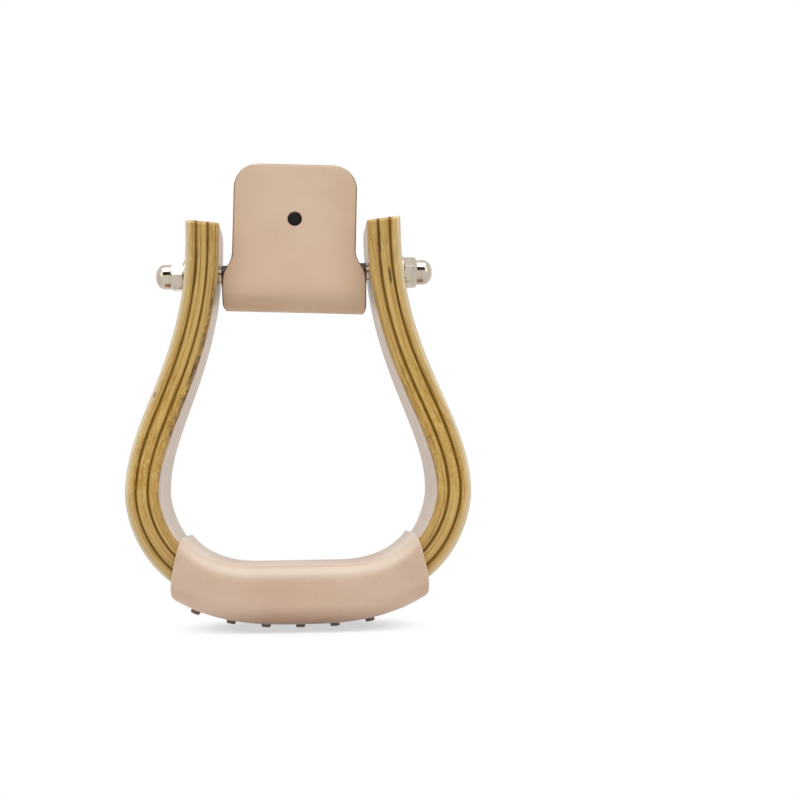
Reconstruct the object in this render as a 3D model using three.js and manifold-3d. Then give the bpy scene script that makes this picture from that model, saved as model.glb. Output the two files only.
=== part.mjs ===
// A laminated wooden bell stirrup. A bent bow of three wooden plies and two dark veneers is
// closed at its neck by a bolt with a dome nut at each end. A sleeve turns on the bolt, a folded
// leather flap hangs on the sleeve, and a second leather is wrapped round the tread and laced
// underneath. Millimetres: X runs across the stirrup, -Y is its front, and it stands on Z = 0.
import * as THREE from 'three';
import { mergeVertices } from 'three/addons/utils/BufferGeometryUtils.js';
import Module from 'manifold-3d';

const wasm = await Module();
wasm.setup();

// Bow, front view. The two widths are clear inside widths.
const plyThickness = 4.7;
const veneerThickness = 0.75;
const neckWidth = 69;
const footWidth = 127.3;
const boltAboveTread = 140.7;
const widestAboveTread = 36.9;
const limbEndAboveBolt = 22.7;
const treadFlatLength = 40;
const bendPullAcross = 45.3;
const bendPullUp = 8.2;
const limbPullLow = 34.9;
const limbPullHigh = 64.5;
const limbEndSlope = THREE.MathUtils.degToRad(7);

// Bow, side view.
const limbEndDepth = 43.8;
const waistDepth = 37.8;
const treadDepth = 69.2;
const waistBelowBolt = 15;
const fullDepthAboveTread = 23;
const flarePullHigh = 62;
const flarePullLow = 25;
const woodEdgeRadius = 2.2;
const limbCornerRadius = 2.2;

// Bolt, its sleeve, washers and dome nuts.
const boltDiameter = 7.9;
const boltClearance = 0.3;
const sleeveWall = 0.75;
const sleeveEndGap = 0.4;
const washerDiameter = 16;
const washerThickness = 1.6;
const washerSeatDepth = 0.4;
const washerSeatGap = 0.4;
const nutAcrossFlats = 12.7;
const nutHexHeight = 6.2;
const rightNutTurn = THREE.MathUtils.degToRad(13);
const leftNutTurn = THREE.MathUtils.degToRad(30);
const nutChamfer = 0.7;
const domeDiameter = 11.8;
const domeHeight = 7.5;
const domeStraight = 2.5;
const domeFullness = 2.3;
const nutBoreDepth = 9.4;
const boltEndGap = 0.6;

// Flap: one strip folded under the sleeve, its two ends standing together above the bolt.
const flapThickness = 2.4;
const flapWidth = 58.8;
const flapSideGap = 0.3;
const flapAboveBolt = 51.9;
const flapBelowBolt = 18.1;
const flapFlareTop = 11.5;
const flapFlareBottom = -4.5;
const flapTopRadius = 10.5;
const flapFootRadius = 3.6;
const flapEndGap = 0.3;
const flapPinchPull = 26;
const flapSeatGap = 0.3;
const flapSeatAngle = THREE.MathUtils.degToRad(12);
const flapSeatPull = 9;
const flapLoopRadius = 8.2;
const flapLoopPull = 3;
const flapHoleDiameter = 7;
const flapHoleAboveBolt = 26.2;
const flapLean = THREE.MathUtils.degToRad(4);
const flapSkew = THREE.MathUtils.degToRad(2.5);
const flapSkewFrom = 6;
const flapSkewOver = 12;

// Tread leather: one sheet wrapped round the bow, its two edges meeting at a seam underneath.
const wrapThickness = 2.3;
const wrapTopLength = 116;
const wrapFootLength = 115.5;
const wrapEndBow = 1.9;
const wrapEndSkew = 0.6;
const wrapSideGap = 1.1;
const wrapHeight = 27;
const wrapFootRise = 12.5;
const wrapFootBend = 2.8;
const wrapTopRadius = 5.8;
const wrapFootRadius = 9;
const wrapSeatGap = 0.3;
const seamGap = 0.8;
const seamLift = 0.6;
const seamLipLength = 9;

// Lace: one flat thong that crosses the seam outside and runs back between crossings inside.
const laceWidth = 4.4;
const laceThickness = 1.7;
const laceCrossings = 7;
const lacePitch = 16.2;
const laceSpan = 24;
const laceBow = 1.4;
const laceBowMost = 4.1;
const laceSlack = 0.6;
const laceTightBow = 0.3;
const laceFlat = 12;
const laceGap = 0.3;
const laceInsideRadius = 0.35;
const laceTailLength = 6;
const laceRunTurn = 0.3;

// How finely the curves are divided.
const roundSides = 32;
const smallRoundSides = 24;
const arcSteps = 6;
const laceTurnSteps = 3;
const curveSteps = 12;
const limbSteps = 24;
const loopSteps = 4;
const wrapRows = 18;

// Colours of the materials.
const oakColour = 0xc39a55;
const veneerColour = 0x7a5714;
const steelColour = 0xd4d4d0;
const sleeveColour = 0x33231a;
const leatherColour = 0xd6bb9e;
const thongColour = 0xbf9a72;

// Heights, stacked up from the lace that the stirrup stands on.
const bowThickness = 3 * plyThickness + 2 * veneerThickness;
const laceReach = laceGap + laceThickness + laceBow;
const treadFace = laceReach + wrapHeight - wrapThickness - wrapSeatGap;
const boltHeight = treadFace + boltAboveTread;
const limbEnd = boltHeight + limbEndAboveBolt;
const widestHeight = treadFace + widestAboveTread;

// The tread leather stands clear of the bow's edges all along.
const wrapDepth = treadDepth + 2 * (wrapSideGap + wrapThickness);

// Radii that follow from the fits.
const boltRadius = boltDiameter / 2;
const boltHoleRadius = boltRadius + boltClearance;
const sleeveRadius = boltHoleRadius + sleeveWall;
const washerRadius = washerDiameter / 2;

function point(x, y) {
  return new THREE.Vector2(x, y);
}

function cubic(...ends) {
  return new THREE.CubicBezierCurve(...ends);
}

// Turns a closed mesh's faces outwards.
function faceOut(geometry) {
  const corners = geometry.getAttribute('position');
  const index = geometry.getIndex().array;
  const [a, b, c] = [0, 1, 2].map(() => new THREE.Vector3());
  let volume = 0;
  for (let i = 0; i < index.length; i += 3) {
    a.fromBufferAttribute(corners, index[i]);
    b.fromBufferAttribute(corners, index[i + 1]);
    c.fromBufferAttribute(corners, index[i + 2]);
    volume += a.dot(b.cross(c));
  }
  if (volume < 0) {
    index.reverse();
  }
  return geometry;
}

// Skins a row of outlines with the same number of points, and closes both ends. place(p, row)
// gives the place in space of the outline point p.
function sweep(outlines, place) {
  const count = outlines[0].length;
  const last = (outlines.length - 1) * count;
  const points = outlines.flatMap((outline, row) => outline.map((p) => place(p, row)));
  const faces = [];
  for (let start = 0; start < last; start += count) {
    for (let i = 0; i < count; i += 1) {
      const next = (i + 1) % count;
      faces.push(start + i, start + next, start + count + next);
      faces.push(start + i, start + count + next, start + count + i);
    }
  }
  for (const [a, b, c] of THREE.ShapeUtils.triangulateShape(outlines[0], [])) {
    faces.push(a, c, b);
  }
  for (const [a, b, c] of THREE.ShapeUtils.triangulateShape(outlines.at(-1), [])) {
    faces.push(last + a, last + b, last + c);
  }
  const geometry = new THREE.BufferGeometry().setFromPoints(points);
  geometry.setIndex(faces);
  return faceOut(geometry);
}

function toSolid(geometry) {
  const bare = geometry.clone();
  bare.deleteAttribute('normal');
  bare.deleteAttribute('uv');
  const merged = mergeVertices(bare, 1e-4);
  const vertProperties = new Float32Array(merged.getAttribute('position').array);
  const triVerts = new Uint32Array(merged.getIndex().array);
  return new wasm.Manifold(new wasm.Mesh({ numProp: 3, vertProperties, triVerts }));
}

function toGeometry(solid) {
  const { vertProperties, triVerts } = solid.getMesh();
  const geometry = new THREE.BufferGeometry();
  geometry.setAttribute('position', new THREE.BufferAttribute(vertProperties, 3));
  geometry.setIndex(new THREE.BufferAttribute(triVerts, 1));
  return geometry;
}

function cut(geometry, tools) {
  return toGeometry(tools.reduce((solid, tool) => solid.subtract(toSolid(tool)), toSolid(geometry)));
}

function trim(geometry, keep) {
  return toGeometry(toSolid(geometry).intersect(toSolid(keep)));
}

// A cylinder along X that starts at one X and ends at another.
function cylinderAlongX(radius, from, to, sides = roundSides) {
  const geometry = new THREE.CylinderGeometry(radius, radius, to - from, sides);
  return geometry.rotateZ(Math.PI / 2).translate((from + to) / 2, 0, 0);
}

// An arc of points round a centre, between two angles in degrees.
function arc(centre, radius, from, to, steps = arcSteps) {
  return Array.from({ length: steps + 1 }, (_, i) => {
    const angle = THREE.MathUtils.degToRad(from + (to - from) * i / steps);
    return point(centre.x + radius * Math.cos(angle), centre.y + radius * Math.sin(angle));
  });
}

// Falls smoothly from 1 to 0 as the part runs from 0 to 1.
function ease(part) {
  return (1 + Math.cos(Math.PI * part)) / 2;
}

// A mesh made round the bolt's axis, which is the local X axis.
function onBolt(name, geometry, material) {
  const mesh = new THREE.Mesh(geometry, material);
  mesh.name = name;
  mesh.position.z = boltHeight;
  return mesh;
}

// The right half of the bow's middle line: one curve for the bend beside the tread and one for
// the limb.
const middleNeck = (neckWidth + bowThickness) / 2;
const middleWidest = (footWidth + bowThickness) / 2;
const middleTread = treadFace - bowThickness / 2;
const cornerStart = limbEnd - limbCornerRadius;
const bend = cubic(
  point(treadFlatLength / 2, middleTread),
  point(treadFlatLength / 2 + bendPullAcross, middleTread),
  point(middleWidest, widestHeight - bendPullUp),
  point(middleWidest, widestHeight),
);
const limb = cubic(
  point(middleWidest, widestHeight),
  point(middleWidest, widestHeight + limbPullLow),
  point(middleNeck, cornerStart - limbPullHigh),
  point(middleNeck, cornerStart),
);

function lineStations(curve, steps) {
  return curve.getPoints(steps).map((p, i) => ({ p, along: curve.getTangent(i / steps) }));
}

// Where the limb's corner is rounded, as shares of the radius from its start to the limb's end.
const cornerShares = [0.45, 0.8, 1];
const halfLine = [
  ...lineStations(bend, curveSteps),
  ...lineStations(limb, limbSteps).slice(1),
  ...cornerShares.map((share) => ({
    p: point(middleNeck, cornerStart + share * limbCornerRadius),
    along: point(0, 1),
    share,
  })),
];

// The stations of the whole bow, from the left limb's end to the right one's.
const stations = [
  ...halfLine.toReversed().map((station) => ({ ...station, side: -1 })),
  ...halfLine.map((station) => ({ ...station, side: 1 })),
];

// The bow's half depth at a height, from the limb's end down to the tread.
const waistHeight = boltHeight - waistBelowBolt;
const fullDepthHeight = treadFace + fullDepthAboveTread;
const sideLine = [
  ...cubic(
    point(limbEndDepth / 2, limbEnd),
    point(limbEndDepth / 2, limbEnd - (limbEnd - waistHeight) / 3),
    point(waistDepth / 2, waistHeight + (limbEnd - waistHeight) / 2),
    point(waistDepth / 2, waistHeight),
  ).getPoints(curveSteps),
  ...cubic(
    point(waistDepth / 2, waistHeight),
    point(waistDepth / 2, waistHeight - flarePullHigh),
    point(treadDepth / 2, fullDepthHeight + flarePullLow),
    point(treadDepth / 2, fullDepthHeight),
  ).getPoints(limbSteps).slice(1),
];

function halfDepthAt(height) {
  const below = sideLine.findIndex((p) => p.y <= height);
  if (below < 0) {
    return treadDepth / 2;
  }
  if (below === 0) {
    return limbEndDepth / 2;
  }
  const [high, low] = [sideLine[below - 1], sideLine[below]];
  return THREE.MathUtils.mapLinear(height, low.y, high.y, low.x, high.x);
}

// How far the rounded corner at the limb's end takes the bow's edge in.
function cornerInset(share = 0) {
  return limbCornerRadius * (1 - Math.sqrt(1 - share * share));
}

// One corner of a ply's section: sharp, or rounded in two steps.
function sectionCorner(x, y, towardX, towardY, rounded) {
  if (!rounded) {
    return [point(x, y)];
  }
  const centre = point(x + towardX * woodEdgeRadius, y + towardY * woodEdgeRadius);
  return arc(point(0, 0), woodEdgeRadius, 0, 90, 2).map((p) => (
    point(centre.x - towardX * p.x, centre.y - towardY * p.y)
  ));
}

// A ply's section between two distances out from the bow's inner face. The edges that lie on
// the bow's own faces are rounded.
function plySection(from, to, halfDepth) {
  const roundInner = from === 0;
  const roundOuter = to === bowThickness;
  return [
    ...sectionCorner(from, -halfDepth, 1, 1, roundInner),
    ...sectionCorner(to, -halfDepth, -1, 1, roundOuter).toReversed(),
    ...sectionCorner(to, halfDepth, -1, -1, roundOuter),
    ...sectionCorner(from, halfDepth, 1, -1, roundInner).toReversed(),
  ];
}

function placeOnBow(p, row) {
  const { p: middle, along, share, side } = stations[row];
  const out = p.x - bowThickness / 2;
  const slope = share === undefined ? 0 : out * Math.tan(limbEndSlope);
  const x = middle.x + along.y * out + along.x * slope;
  const z = middle.y - along.x * out + along.y * slope;
  return new THREE.Vector3(side * x, p.y, z);
}

function plyGeometry(from, to) {
  const outlines = stations.map(({ p, share }) => (
    plySection(from, to, halfDepthAt(p.y) - cornerInset(share))
  ));
  const hole = cylinderAlongX(boltHoleRadius, -footWidth, footWidth);
  return cut(sweep(outlines, placeOnBow), [hole.translate(0, 0, boltHeight)]);
}

// How far the limb's inner and outer faces stand from the middle plane at a height.
function limbFacesAt(height) {
  const above = halfLine.findIndex(({ p }) => p.y > height && p.y > widestHeight);
  const [low, high] = [halfLine[above - 1].p, halfLine[above].p];
  const middle = THREE.MathUtils.mapLinear(height, low.y, high.y, low.x, high.x);
  const lean = Math.atan2(low.x - high.x, high.y - low.y);
  const halfWidth = bowThickness / 2 / Math.cos(lean);
  return { inside: middle - halfWidth, outside: middle + halfWidth };
}

const washerSeat = limbFacesAt(boltHeight).outside - washerSeatDepth;

function finish(color, roughness, metalness = 0) {
  return new THREE.MeshStandardMaterial({ color, roughness, metalness });
}

const oak = finish(oakColour, 0.45);
const darkVeneer = finish(veneerColour, 0.55);
const steel = finish(steelColour, 0.18, 1);
const sleeveFinish = finish(sleeveColour, 0.5, 0.2);
const leather = finish(leatherColour, 0.6);
const thong = finish(thongColour, 0.65);

// The plies and veneers, from the face at the foot outwards. The outer ply is spot-faced so
// that each washer seats square to the bolt on the leaning limb.
function buildBow() {
  const bow = new THREE.Group();
  const layers = [
    ['inner_ply', plyThickness, oak],
    ['inner_veneer', veneerThickness, darkVeneer],
    ['middle_ply', plyThickness, oak],
    ['outer_veneer', veneerThickness, darkVeneer],
    ['outer_ply', plyThickness, oak],
  ];
  let from = 0;
  layers.forEach(([name, thickness, material], i) => {
    const to = i === layers.length - 1 ? bowThickness : from + thickness;
    let geometry = plyGeometry(from, to);
    if (to === bowThickness) {
      const seatRadius = washerRadius + washerSeatGap;
      const seat = cylinderAlongX(seatRadius, washerSeat, footWidth).translate(0, 0, boltHeight);
      geometry = cut(geometry, [seat, seat.clone().rotateZ(Math.PI)]);
    }
    const mesh = new THREE.Mesh(geometry, material);
    mesh.name = name;
    bow.add(mesh);
    from = to;
  });
  return bow;
}

// A tube round the bolt's axis, closed on itself as a lathed ring.
function ringAlongX(innerRadius, outerRadius, from, to, sides = roundSides) {
  const profile = [
    point(innerRadius, from),
    point(outerRadius, from),
    point(outerRadius, to),
    point(innerRadius, to),
    point(innerRadius, from),
  ];
  return new THREE.LatheGeometry(profile, sides).rotateZ(-Math.PI / 2);
}

// The dome's side, from where it leaves its straight wall to its tip: fuller than a half ball.
function domeLine() {
  const steps = 2 * arcSteps;
  const power = 2 / domeFullness;
  return Array.from({ length: steps + 1 }, (_, i) => {
    const angle = i / steps * Math.PI / 2;
    return point(
      i < steps ? domeDiameter / 2 * Math.cos(angle) ** power : 0,
      nutHexHeight + domeStraight + (domeHeight - domeStraight) * Math.sin(angle) ** power,
    );
  });
}

// A dome nut that opens at local X = 0 and points along +X: a chamfered hexagon under a dome,
// with a blind bore, turned about its own axis.
function domeNutGeometry(turn) {
  const cornerRadius = nutAcrossFlats / 2 / Math.cos(Math.PI / 6);
  const hex = new THREE.CylinderGeometry(cornerRadius, cornerRadius, nutHexHeight, 6);
  hex.translate(0, nutHexHeight / 2, 0);
  const chamferCone = new THREE.LatheGeometry([
    point(0, 0),
    point(cornerRadius, 0),
    point(cornerRadius, nutHexHeight - nutChamfer),
    point((nutAcrossFlats - nutChamfer) / 2, nutHexHeight),
    point(0, nutHexHeight),
  ], smallRoundSides);
  const dome = new THREE.LatheGeometry([
    point(0, nutHexHeight / 2),
    point(domeDiameter / 2, nutHexHeight / 2),
    ...domeLine(),
  ], smallRoundSides);
  const bore = new THREE.CylinderGeometry(boltHoleRadius, boltHoleRadius, 2 * nutBoreDepth,
    smallRoundSides);
  const body = toSolid(hex).intersect(toSolid(chamferCone)).add(toSolid(dome)).subtract(toSolid(bore));
  return toGeometry(body).rotateZ(-Math.PI / 2).rotateX(turn);
}

function buildHardware() {
  const hardware = new THREE.Group();
  const nutSeat = washerSeat + washerThickness;
  const boltEnd = nutSeat + nutBoreDepth - boltEndGap;
  const sleeveEnd = limbFacesAt(boltHeight + sleeveRadius).inside - sleeveEndGap;
  const bolt = cylinderAlongX(boltRadius, -boltEnd, boltEnd, smallRoundSides);
  const sleeve = ringAlongX(boltHoleRadius, sleeveRadius, -sleeveEnd, sleeveEnd, smallRoundSides);
  hardware.add(onBolt('stirrup_bolt', bolt, steel));
  hardware.add(onBolt('bolt_sleeve', sleeve, sleeveFinish));
  for (const [side, turn, nutTurn] of [['right', 0, rightNutTurn], ['left', Math.PI, leftNutTurn]]) {
    const washer = ringAlongX(boltHoleRadius, washerRadius, washerSeat, nutSeat);
    const washerMesh = onBolt(`${side}_washer`, washer, steel);
    const nut = domeNutGeometry(nutTurn).translate(nutSeat, 0, 0);
    const nutMesh = onBolt(`${side}_dome_nut`, nut, steel);
    washerMesh.rotation.z = turn;
    nutMesh.rotation.z = turn;
    hardware.add(washerMesh, nutMesh);
  }
  return hardware;
}

// Both sides of a sheet of one thickness that follows a line, as one closed outline.
function sheetOutline(line, thickness) {
  const along = line.map((p, i) => {
    const before = line[Math.max(i - 1, 0)];
    const after = line[Math.min(i + 1, line.length - 1)];
    return after.clone().sub(before).normalize();
  });
  const offset = (distance) => line.map((p, i) => (
    point(p.x + along[i].y * distance, p.y - along[i].x * distance)
  ));
  return [...offset(thickness / 2), ...offset(-thickness / 2).toReversed()];
}

// The flap's side view about the bolt's axis: down one layer, round the fold and up the other.
function flapLine() {
  const layer = (flapEndGap + flapThickness) / 2;
  const seatRadius = sleeveRadius + flapSeatGap + flapThickness / 2;
  const seat = point(Math.cos(flapSeatAngle), Math.sin(flapSeatAngle)).multiplyScalar(seatRadius);
  const down = point(Math.sin(flapSeatAngle), -Math.cos(flapSeatAngle));
  const loopCentre = point(0, flapThickness / 2 + flapLoopRadius - flapBelowBolt);
  const upper = cubic(
    point(layer, flapAboveBolt),
    point(layer, flapAboveBolt - flapPinchPull),
    seat.clone().addScaledVector(down, -flapSeatPull),
    seat,
  );
  const lower = cubic(
    seat,
    seat.clone().addScaledVector(down, flapLoopPull),
    point(flapLoopRadius, loopCentre.y + flapLoopPull),
    point(flapLoopRadius, loopCentre.y),
  );
  const half = [
    ...upper.getPoints(curveSteps),
    ...lower.getPoints(loopSteps).slice(1),
    ...arc(loopCentre, flapLoopRadius, 0, -90).slice(1),
  ];
  const mirrored = half.slice(0, -1).map((p) => point(-p.x, p.y)).toReversed();
  return [...half, ...mirrored];
}

// The flap's front outline: straight sides, a flare to the neck's width and rounded corners.
function flapOutline() {
  const wide = neckWidth / 2 - flapSideGap;
  const narrow = flapWidth / 2;
  const flareMiddle = (flapFlareTop + flapFlareBottom) / 2;
  const right = [
    ...arc(point(wide - flapFootRadius, flapFootRadius - flapBelowBolt), flapFootRadius, -90, 0),
    ...cubic(
      point(wide, flapFlareBottom),
      point(wide, flareMiddle),
      point(narrow, flareMiddle),
      point(narrow, flapFlareTop),
    ).getPoints(curveSteps),
    ...arc(point(narrow - flapTopRadius, flapAboveBolt - flapTopRadius), flapTopRadius, 0, 90),
  ];
  return new THREE.Shape([...right, ...right.map((p) => point(-p.x, p.y)).toReversed()]);
}

// The strip was cut and folded a little out of square: its right side hangs lower than its left,
// and its top leans to the right. Beside the sleeve it lies true.
function skewFlap(geometry) {
  const slope = Math.tan(flapSkew);
  const places = geometry.getAttribute('position');
  for (let i = 0; i < places.count; i += 1) {
    const x = places.getX(i);
    const z = places.getZ(i);
    const part = THREE.MathUtils.clamp((Math.abs(z) - flapSkewFrom) / flapSkewOver, 0, 1);
    places.setX(i, x + slope * Math.max(z - flapSkewFrom, 0));
    places.setZ(i, z - slope * x * (1 - ease(part)));
  }
  return geometry;
}

function buildFlap() {
  const wide = neckWidth - 2 * flapSideGap;
  const span = 2 * (flapLoopRadius + flapThickness);
  const side = new THREE.Shape(sheetOutline(flapLine(), flapThickness));
  const sheet = new THREE.ExtrudeGeometry(side, { depth: wide, bevelEnabled: false });
  sheet.translate(0, 0, -wide / 2).rotateZ(Math.PI / 2).rotateY(Math.PI / 2);
  const front = new THREE.ExtrudeGeometry(flapOutline(), { depth: span, bevelEnabled: false });
  front.rotateX(Math.PI / 2).translate(0, span / 2, 0);
  const holeRadius = flapHoleDiameter / 2;
  const hole = new THREE.CylinderGeometry(holeRadius, holeRadius, span, smallRoundSides);
  hole.translate(0, -span / 2, flapHoleAboveBolt);
  const flap = onBolt('neck_leather', skewFlap(cut(trim(sheet, front), [hole])), leather);
  flap.rotation.x = flapLean;
  return flap;
}

// The tread leather's outer height underneath. share runs from -1 at the left end to 1 at the
// right.
function wrapFootAt(share) {
  return laceReach + wrapFootRise * Math.abs(share) ** wrapFootBend;
}

// The right half of the tread leather's top line, which lies along the bow's inner face.
const wrapTopOut = bowThickness / 2 + wrapSeatGap + wrapThickness;
const wrapTopLine = [
  point(0, treadFace + wrapSeatGap + wrapThickness),
  ...halfLine.map(({ p, along }) => point(
    p.x - along.y * wrapTopOut,
    p.y + along.x * wrapTopOut,
  )),
];

// A place on the tread leather's top line, at a share of its length from the tread's middle.
function wrapTopAt(share) {
  let left = Math.abs(share) * wrapTopLength / 2;
  let i = 0;
  while (left > wrapTopLine[i].distanceTo(wrapTopLine[i + 1])) {
    left -= wrapTopLine[i].distanceTo(wrapTopLine[i + 1]);
    i += 1;
  }
  const step = left / wrapTopLine[i].distanceTo(wrapTopLine[i + 1]);
  const { x, y } = wrapTopLine[i].clone().lerp(wrapTopLine[i + 1], step);
  return new THREE.Vector3(Math.sign(share) * x, 0, y);
}

// Where a station of the tread leather stands: its middle, its way up and its half height.
function wrapFrame(share) {
  const top = wrapTopAt(share);
  const foot = new THREE.Vector3(share * wrapFootLength / 2, 0, wrapFootAt(share));
  return {
    share,
    middle: top.clone().lerp(foot, 0.5),
    up: top.clone().sub(foot).normalize(),
    halfHeight: top.distanceTo(foot) / 2,
  };
}

// How far a station bows outwards at a height about its middle, so that the sheet's ends bulge
// and are rounded off underneath.
function wrapBowAt(share, height, halfHeight) {
  const part = THREE.MathUtils.clamp((height / halfHeight + 1) / 2, 0, 1) ** wrapEndSkew;
  return share * wrapEndBow * 4 * part * (1 - part);
}

// The tread leather's section: x is the stirrup's Y, and y is the height about the middle.
function wrapSection(halfHeight) {
  const side = (wrapDepth - wrapThickness) / 2;
  const top = halfHeight - wrapThickness / 2;
  const topRadius = wrapTopRadius - wrapThickness / 2;
  const footRadius = wrapFootRadius - wrapThickness / 2;
  const half = [
    ...[0, 1 / 2, 1].map((part) => point(
      THREE.MathUtils.lerp(seamGap / 2, seamLipLength, part),
      seamLift * ease(part) - top,
    )),
    ...arc(point(side - footRadius, footRadius - top), footRadius, -90, 0),
    ...arc(point(side - topRadius, top - topRadius), topRadius, 0, 90),
  ];
  return sheetOutline([...half, ...half.map((p) => point(-p.x, p.y)).toReversed()], wrapThickness);
}

// Where a crossing of the lace lies under the leather: along follows the leather's outer face
// across the stirrup, and up is square to that face.
function laceFrame(x) {
  const share = x / (wrapFootLength / 2);
  const step = 0.01;
  const rise = (wrapFootAt(share + step) - wrapFootAt(share - step)) / (wrapFootLength * step);
  const along = new THREE.Vector3(1, 0, rise).normalize();
  return {
    middle: new THREE.Vector3(x, 0, wrapFootAt(share)),
    along,
    up: new THREE.Vector3(-along.z, 0, along.x),
  };
}

const laceXs = Array.from({ length: laceCrossings }, (_, i) => (
  (i - (laceCrossings - 1) / 2) * lacePitch
));

// The thong's line: down through a hole, under the seam in a shallow bow, up through the next
// hole, and back inside to the following crossing. The last crossing is pulled tight.
function laceLine() {
  const holeY = laceSpan / 2;
  const turn = laceThickness / 2 + laceInsideRadius;
  const inside = wrapThickness + laceGap + laceThickness / 2;
  const outside = -laceGap - laceThickness / 2;
  const hole = [
    ...arc(point(holeY - turn, inside - turn), turn, 90, 0, laceTurnSteps),
    ...arc(point(holeY - turn, outside + turn), turn, 0, -90, laceTurnSteps),
  ];
  const bow = (depth) => [1 / 3, 2 / 3, 1].map((part) => point(
    THREE.MathUtils.lerp(holeY - turn, laceFlat / 2, part),
    outside - depth * (1 - ease(part)),
  ));
  const overSeam = point(seamLipLength / 2, inside + seamLift);
  const mirror = (p) => point(-p.x, p.y);
  const places = [];
  const add = (x, p) => {
    const frame = laceFrame(x);
    const place = frame.middle.clone().addScaledVector(frame.up, p.y);
    places.push({ place: place.add(new THREE.Vector3(0, p.x, 0)), along: frame.along });
  };
  add(laceXs[0], point(laceTailLength - holeY, inside + seamLift));
  laceXs.forEach((x, i) => {
    const rise = wrapFootAt(x / (wrapFootLength / 2)) - laceReach;
    const slackBow = Math.min(laceBow + laceSlack * rise, laceBowMost);
    const half = [...hole, ...bow(i < laceXs.length - 1 ? slackBow : laceTightBow)];
    half.map(mirror).forEach((p) => add(x, p));
    half.toReversed().forEach((p) => add(x, p));
    if (i < laceXs.length - 1) {
      add(x + laceRunTurn * lacePitch, overSeam);
      add(x + (1 - laceRunTurn) * lacePitch, mirror(overSeam));
    }
  });
  add(laceXs.at(-1), point(holeY - laceTailLength, inside + seamLift));
  return places;
}

function buildWrap() {
  const frames = Array.from({ length: wrapRows }, (_, i) => wrapFrame(2 * i / (wrapRows - 1) - 1));
  const outlines = frames.map(({ halfHeight }) => wrapSection(halfHeight));
  const sheet = sweep(outlines, (p, row) => {
    const { share, middle, up, halfHeight } = frames[row];
    const bow = wrapBowAt(share, p.y, halfHeight);
    return middle.clone().addScaledVector(up, p.y).add(new THREE.Vector3(bow, p.x, 0));
  });
  const slots = laceXs.flatMap((x) => [-1, 1].map((side) => {
    const { middle, along } = laceFrame(x);
    const width = laceWidth + 2 * laceGap;
    const thickness = laceThickness + 2 * laceGap;
    const slot = new THREE.BoxGeometry(width, thickness, 4 * wrapThickness);
    slot.rotateY(-Math.atan2(along.z, along.x));
    return slot.translate(middle.x, side * laceSpan / 2, middle.z);
  }));
  const wrap = new THREE.Mesh(cut(sheet, slots), leather);
  wrap.name = 'tread_leather';
  return wrap;
}

function buildLace() {
  const line = laceLine();
  const sections = line.map(() => [
    point(-laceWidth / 2, -laceThickness / 2),
    point(laceWidth / 2, -laceThickness / 2),
    point(laceWidth / 2, laceThickness / 2),
    point(-laceWidth / 2, laceThickness / 2),
  ]);
  const ribbon = sweep(sections, (p, row) => {
    const { place, along } = line[row];
    const before = line[Math.max(row - 1, 0)].place;
    const after = line[Math.min(row + 1, line.length - 1)].place;
    const face = after.clone().sub(before).cross(along).normalize();
    return place.clone().addScaledVector(along, p.x).addScaledVector(face, p.y);
  });
  const lace = new THREE.Mesh(ribbon, thong);
  lace.name = 'tread_lace';
  return lace;
}

const stirrup = new THREE.Group();
stirrup.add(buildBow(), buildHardware(), buildFlap(), buildWrap(), buildLace());

export default stirrup;
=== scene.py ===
import math

import bmesh
import bpy
import numpy as np
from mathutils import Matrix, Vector
from mathutils.kdtree import KDTree


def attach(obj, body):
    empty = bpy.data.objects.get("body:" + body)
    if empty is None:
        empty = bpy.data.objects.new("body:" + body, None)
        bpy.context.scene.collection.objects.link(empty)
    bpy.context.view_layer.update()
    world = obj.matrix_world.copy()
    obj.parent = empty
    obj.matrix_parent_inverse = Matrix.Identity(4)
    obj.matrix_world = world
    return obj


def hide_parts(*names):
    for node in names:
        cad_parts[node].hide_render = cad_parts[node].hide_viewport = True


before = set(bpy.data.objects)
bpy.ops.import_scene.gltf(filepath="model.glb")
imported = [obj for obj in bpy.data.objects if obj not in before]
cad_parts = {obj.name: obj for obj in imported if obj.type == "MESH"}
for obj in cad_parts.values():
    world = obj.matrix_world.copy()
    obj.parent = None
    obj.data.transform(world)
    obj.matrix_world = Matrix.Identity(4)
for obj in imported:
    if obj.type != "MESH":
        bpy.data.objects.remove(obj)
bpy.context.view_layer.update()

scene = bpy.context.scene
scene.view_settings.view_transform = "Standard"

# The photograph's viewpoint: straight in front of the stirrup at about arm's length, level with
# the lower part of the bow. The stirrup stands left of the middle of the picture, and leans a
# little to the left.
VIEW_DISTANCE, VIEW_HEIGHT = 0.68, 0.06
VIEW_LEAN = math.radians(1.1)
SENSOR_WIDTH, LENS = 36, 63.8
PICTURE_SHIFT_X, PICTURE_SHIFT_Y = 0.1272, 0.1263
NEAREST_SEEN, FARTHEST_SEEN = 0.05, 20


def placed(name, data):
    """A new object in the scene, at the origin."""
    made = bpy.data.objects.new(name, data)
    scene.collection.objects.link(made)
    return made


camera_data = bpy.data.cameras.new("camera")
camera_data.sensor_width = SENSOR_WIDTH
camera_data.lens = LENS
camera_data.shift_x = PICTURE_SHIFT_X
camera_data.shift_y = PICTURE_SHIFT_Y
camera_data.clip_start = NEAREST_SEEN
camera_data.clip_end = FARTHEST_SEEN
camera = placed("camera", camera_data)
camera.location = (0, -VIEW_DISTANCE, VIEW_HEIGHT)
camera.rotation_euler = (math.pi / 2, VIEW_LEAN, 0)
scene.camera = camera


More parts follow.
